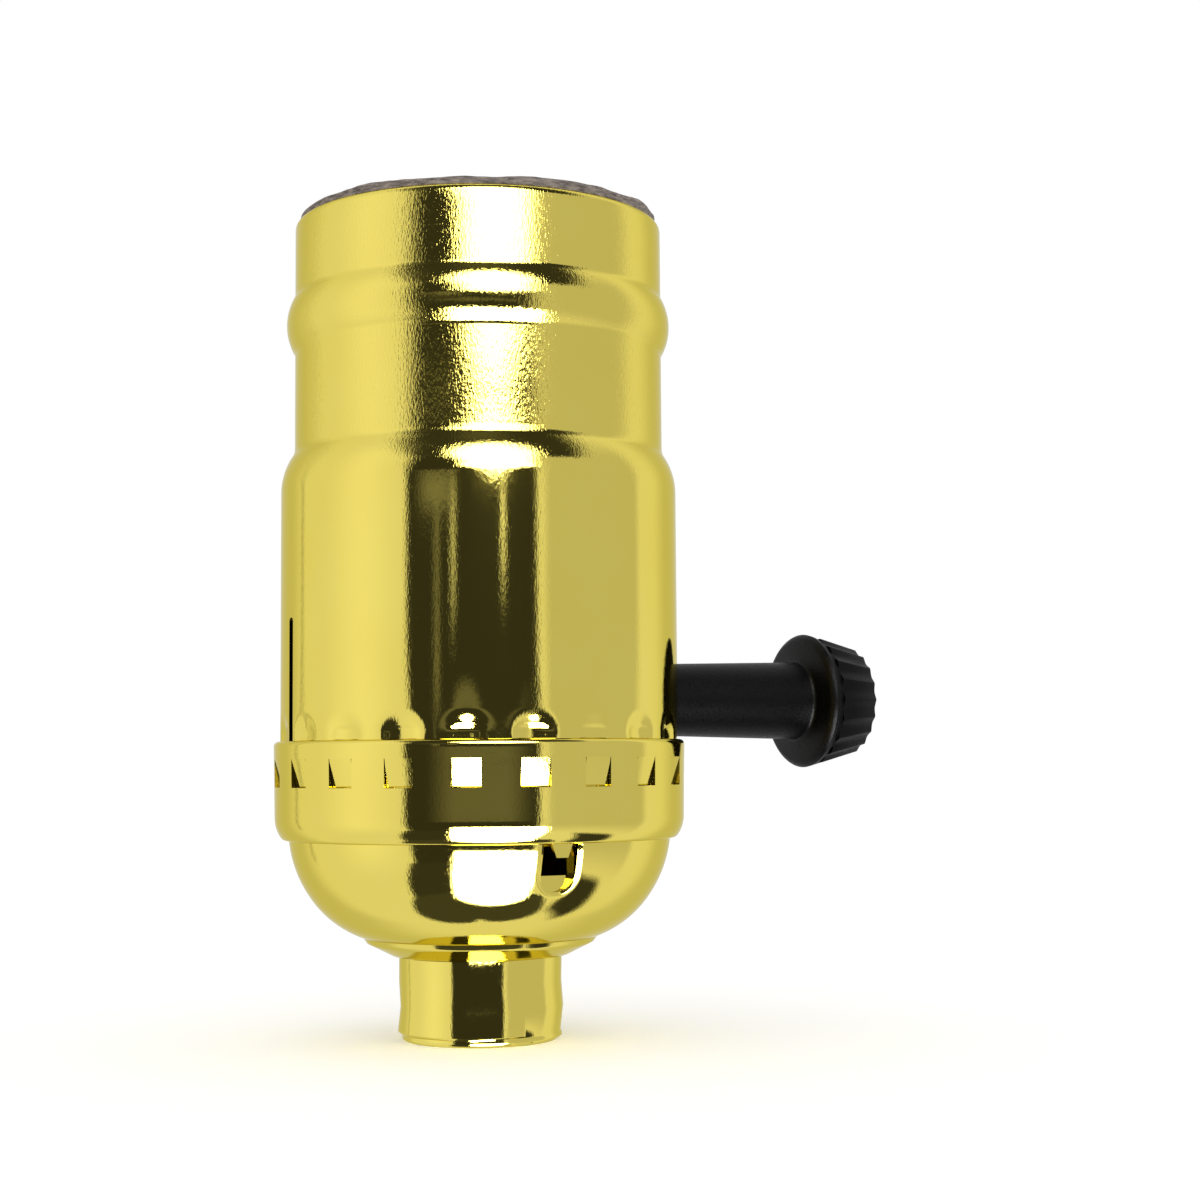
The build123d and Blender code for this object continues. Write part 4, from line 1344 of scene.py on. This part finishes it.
@dataclass(frozen=True)
class Card:
    """A studio card that only mirrors see: a lamp's panel, or a dark side of the room."""

    name: str
    left: float             # azimuth in degrees, from the camera's side to the picture's right
    right: float
    low: float              # elevation of its lower edge, in degrees
    high: float
    brightness: float
    soft_side: float = 0.1  # share of the width over which each side fades out
    soft_end: float = 0.1   # and of the height, at its lower and upper edge
    distance: float = 0.45
    oval: bool = False      # fade out from the middle, over soft_side, and not along the edges
    high_sides: tuple[float, float] | None = None  # left and right where its top differs

    def build(self) -> None:
        """Bend the card round the object, for reflections only."""
        deselect_all()
        bpy.ops.mesh.primitive_grid_add(x_subdivisions=24, y_subdivisions=24, size=1.0)
        card = bpy.context.active_object
        card.name = self.name
        high_left, high_right = self.high_sides or (self.left, self.right)
        for vertex in card.data.vertices:
            share = vertex.co.y + 0.5
            left = self.left + (high_left - self.left) * share
            right = self.right + (high_right - self.right) * share
            azimuth = left + (right - left) * (vertex.co.x + 0.5)
            bearing = math.radians(CAMERA_AZIMUTH + azimuth)
            rise = math.radians(self.low + (self.high - self.low) * share)
            vertex.co = Vector((
                self.distance * math.cos(rise) * math.cos(bearing),
                self.distance * math.cos(rise) * math.sin(bearing),
                self.distance * math.sin(rise) + CARD_CENTRE,
            ))
        dress(card, self.material())
        for ray in ("camera", "diffuse", "transmission", "volume_scatter", "shadow"):
            setattr(card, f"visible_{ray}", False)

    def material(self) -> bpy.types.Material:
        """Build a glow that fades out towards the card's edges.

        Returns:
            The node material.
        """
        material, tree = new_material(self.name)
        place = add_node(tree, "TexCoord").outputs["UV"]
        centred = add_node(
            tree, "Mapping", {"Location": (-0.5, -0.5, 0.0)}, {"Vector": place}
        ).outputs["Vector"]
        if self.oval:
            reach = add_node(tree, "VectorMath", {"operation": "LENGTH"}, {0: centred})
            ways = ((reach.outputs["Value"], self.soft_side),)
        else:
            parts = add_node(tree, "SeparateXYZ", {}, {"Vector": centred})
            ways = ((parts.outputs["X"], self.soft_side), (parts.outputs["Y"], self.soft_end))
        shares = []
        for way, soft in ways:
            away = add_node(tree, "Math", {"operation": "ABSOLUTE"}, {0: way})
            share = add_node(
                tree,
                "MapRange",
                {"interpolation_type": "SMOOTHSTEP", "From Min": 0.5, "From Max": 0.5 - soft},
                {"Value": away.outputs[0]},
            )
            shares.append(share.outputs["Result"])
        both = add_node(tree, "Math", {"operation": "MULTIPLY"}, {0: shares[0], 1: shares[-1]})
        glow = add_node(tree, "Emission", {"Color": WHITE, "Strength": self.brightness})
        clear = add_node(tree, "BsdfTransparent")
        mixed = add_node(
            tree,
            "MixShader",
            {},
            {"Fac": both.outputs[0], 1: clear.outputs[0], 2: glow.outputs[0]},
        )
        add_node(tree, "OutputMaterial", {}, {"Surface": mixed.outputs[0]})
        return material


CARDS = (
    Card("dark_room", -42.5, 33.5, -30.0, 33.0, 0.042, 0.04, 0.02, 0.50),
    Card("dark_sky", -44.0, 66.0, 30.5, 88.0, 0.045, 0.06, 0.04, 0.50, high_sides=(-105.0, 115.0)),
    Card("ceiling", -28.0, 34.0, 57.0, 85.0, 0.11, 0.3, 0.3, 0.49),
    Card("dark_ground", -64.0, 40.0, -58.0, -28.0, 0.05, 0.04, 0.02, 0.50,
         high_sides=(-45.0, 38.0)),
    Card("dark_deep", -150.0, 130.0, -89.0, -56.0, 0.07, 0.04, 0.03, 0.50,
         high_sides=(-63.0, 60.0)),
    Card("dark_low_right", 80.0, 126.0, -68.0, -33.0, 0.05, 0.2, 0.2, 0.49,
         high_sides=(52.0, 90.0)),
    Card("dim_wall", -30.0, 31.0, -7.5, 0.8, 0.17, 0.3, 0.4, 0.48),
    Card("window", -10.8, 31.5, 15.5, 40.0, 8.0, 0.02, 0.01, 0.47),
    Card("overhead", -19.0, 36.0, 20.0, 56.0, 8.0, 0.03, 0.0, 0.47, oval=True),
    Card("window_top", -14.0, 34.0, 44.0, 60.0, 0.35, 0.2, 0.4, 0.475),
    Card("window_foot", -10.0, 27.5, 11.1, 27.0, 8.0, 0.03, 0.0, 0.465, oval=True),
    Card("streak", 11.0, 15.0, 4.5, 12.5, 1.4, 0.5, 0.4, 0.46),
    Card("pole", -16.5, -12.5, 3.0, 13.0, 0.8, 0.5, 0.4, 0.46),
    Card("brown_pole", -26.0, -21.0, -1.0, 12.0, 0.22, 0.5, 0.3, 0.46),
    Card("haze", -38.0, -9.0, 7.6, 13.0, 0.26, 0.4, 0.5, 0.455),
    Card("low_light", -23.0, 42.0, -60.0, -19.5, 20.0, 0.02, 0.01, 0.47,
         high_sides=(-15.0, 38.0)),
    Card("low_light_foot", -24.0, 44.0, -71.0, -49.0, 20.0, 0.02, 0.0, 0.465, oval=True),
    Card("left_panel", -100.0, -38.0, -40.0, 60.0, 1.16, 0.5, 0.3, 0.44),
    Card("door_edge", -121.5, -117.5, -20.0, 40.0, 0.6, 0.4, 0.1, 0.44),
    Card("right_wall", 34.5, 104.0, -40.0, 60.0, 0.71, 0.08, 0.3, 0.52),
    Card("behind", 116.0, 244.0, -70.0, 70.0, 0.78, 0.15, 0.2, 0.52),
)


@dataclass
class Studio:
    """The pale floor, the lights and the camera at the photograph's view."""

    floor_size: float = 8.0
    floor_colour: str = "F4F4F4"
    floor_glow: float = 0.18      # what the camera sees added, so that the floor comes out white

    def build_world(self) -> None:
        """Surround the object with an even white light."""
        world = bpy.data.worlds.new("studio")
        bpy.context.scene.world = world
        world.use_nodes = True
        tree = world.node_tree
        tree.nodes.clear()
        background = add_node(tree, "Background", {"Color": WHITE, "Strength": 1.0})
        add_node(tree, "OutputWorld", {}, {"Surface": background.outputs[0]})

    def build_floor(self) -> None:
        """Lay a white floor that keeps the object's shadow."""
        deselect_all()
        bpy.ops.mesh.primitive_plane_add(size=self.floor_size, location=(0.0, 0.0, 0.0))
        floor = bpy.context.active_object
        floor.name = "floor"
        material, tree = new_material("white_floor")
        path = add_node(tree, "LightPath")
        paint = add_node(tree, "BsdfDiffuse", {"Color": linear(self.floor_colour)})
        share = add_node(
            tree, "MapRange", {"To Max": self.floor_glow}, {"Value": path.outputs["Is Camera Ray"]}
        )
        glow = add_node(
            tree, "Emission", {"Color": WHITE}, {"Strength": share.outputs["Result"]}
        )
        both = add_node(tree, "AddShader", {}, {0: paint.outputs[0], 1: glow.outputs[0]})
        add_node(tree, "OutputMaterial", {}, {"Surface": both.outputs[0]})
        dress(floor, material)
        floor.visible_glossy = False

    def build_camera(self) -> None:
        """Set the camera where the photograph was taken from."""
        data = bpy.data.cameras.new("camera")
        data.sensor_width = 36.0
        data.lens = CAMERA_LENS_MM
        data.clip_start = 0.01
        camera = bpy.data.objects.new("camera", data)
        bpy.context.scene.collection.objects.link(camera)
        forward = CAMERA_FORWARD.normalized()
        level = forward.cross(Vector((0.0, 0.0, 1.0))).normalized()
        upright = level.cross(forward)
        right = level * math.cos(CAMERA_ROLL) + upright * math.sin(CAMERA_ROLL)
        up = -level * math.sin(CAMERA_ROLL) + upright * math.cos(CAMERA_ROLL)
        turn = Matrix((right, up, -forward)).transposed()
        camera.matrix_world = Matrix.Translation(CAMERA_PLACE) @ turn.to_4x4()
        bpy.context.scene.camera = camera

    def build(self) -> None:
        """Put the whole studio up."""
        self.build_world()
        self.build_floor()
        self.build_camera()
        for card in CARDS:
            card.build()
        bpy.context.scene.view_settings.view_transform = "Standard"


def main() -> None:
    """Build and dress the whole object, and put the studio round it."""
    logging.basicConfig(level=logging.INFO, format="%(name)s: %(message)s")
    finishes = socket_finishes()
    slots = {row["node"]: row["material_slot"] for row in frame["record"]["subparts"]}
    for node, piece in frame["nodes"].items():
        dress(piece, finishes[slots[node]])
    for maker in (
        DrawnShell(),
        SnapCap(),
        TurnedHub(),
        FibreSleeve(),
        RolledScrewShell(),
        FlutedKnob(),
    ):
        piece = maker.build()
        dress(piece, finishes[piece["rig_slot"]])
        LOG.info("%s: %d faces", piece.name, len(piece.data.polygons))
    Studio().build()


if __name__ == "__main__":
    main()
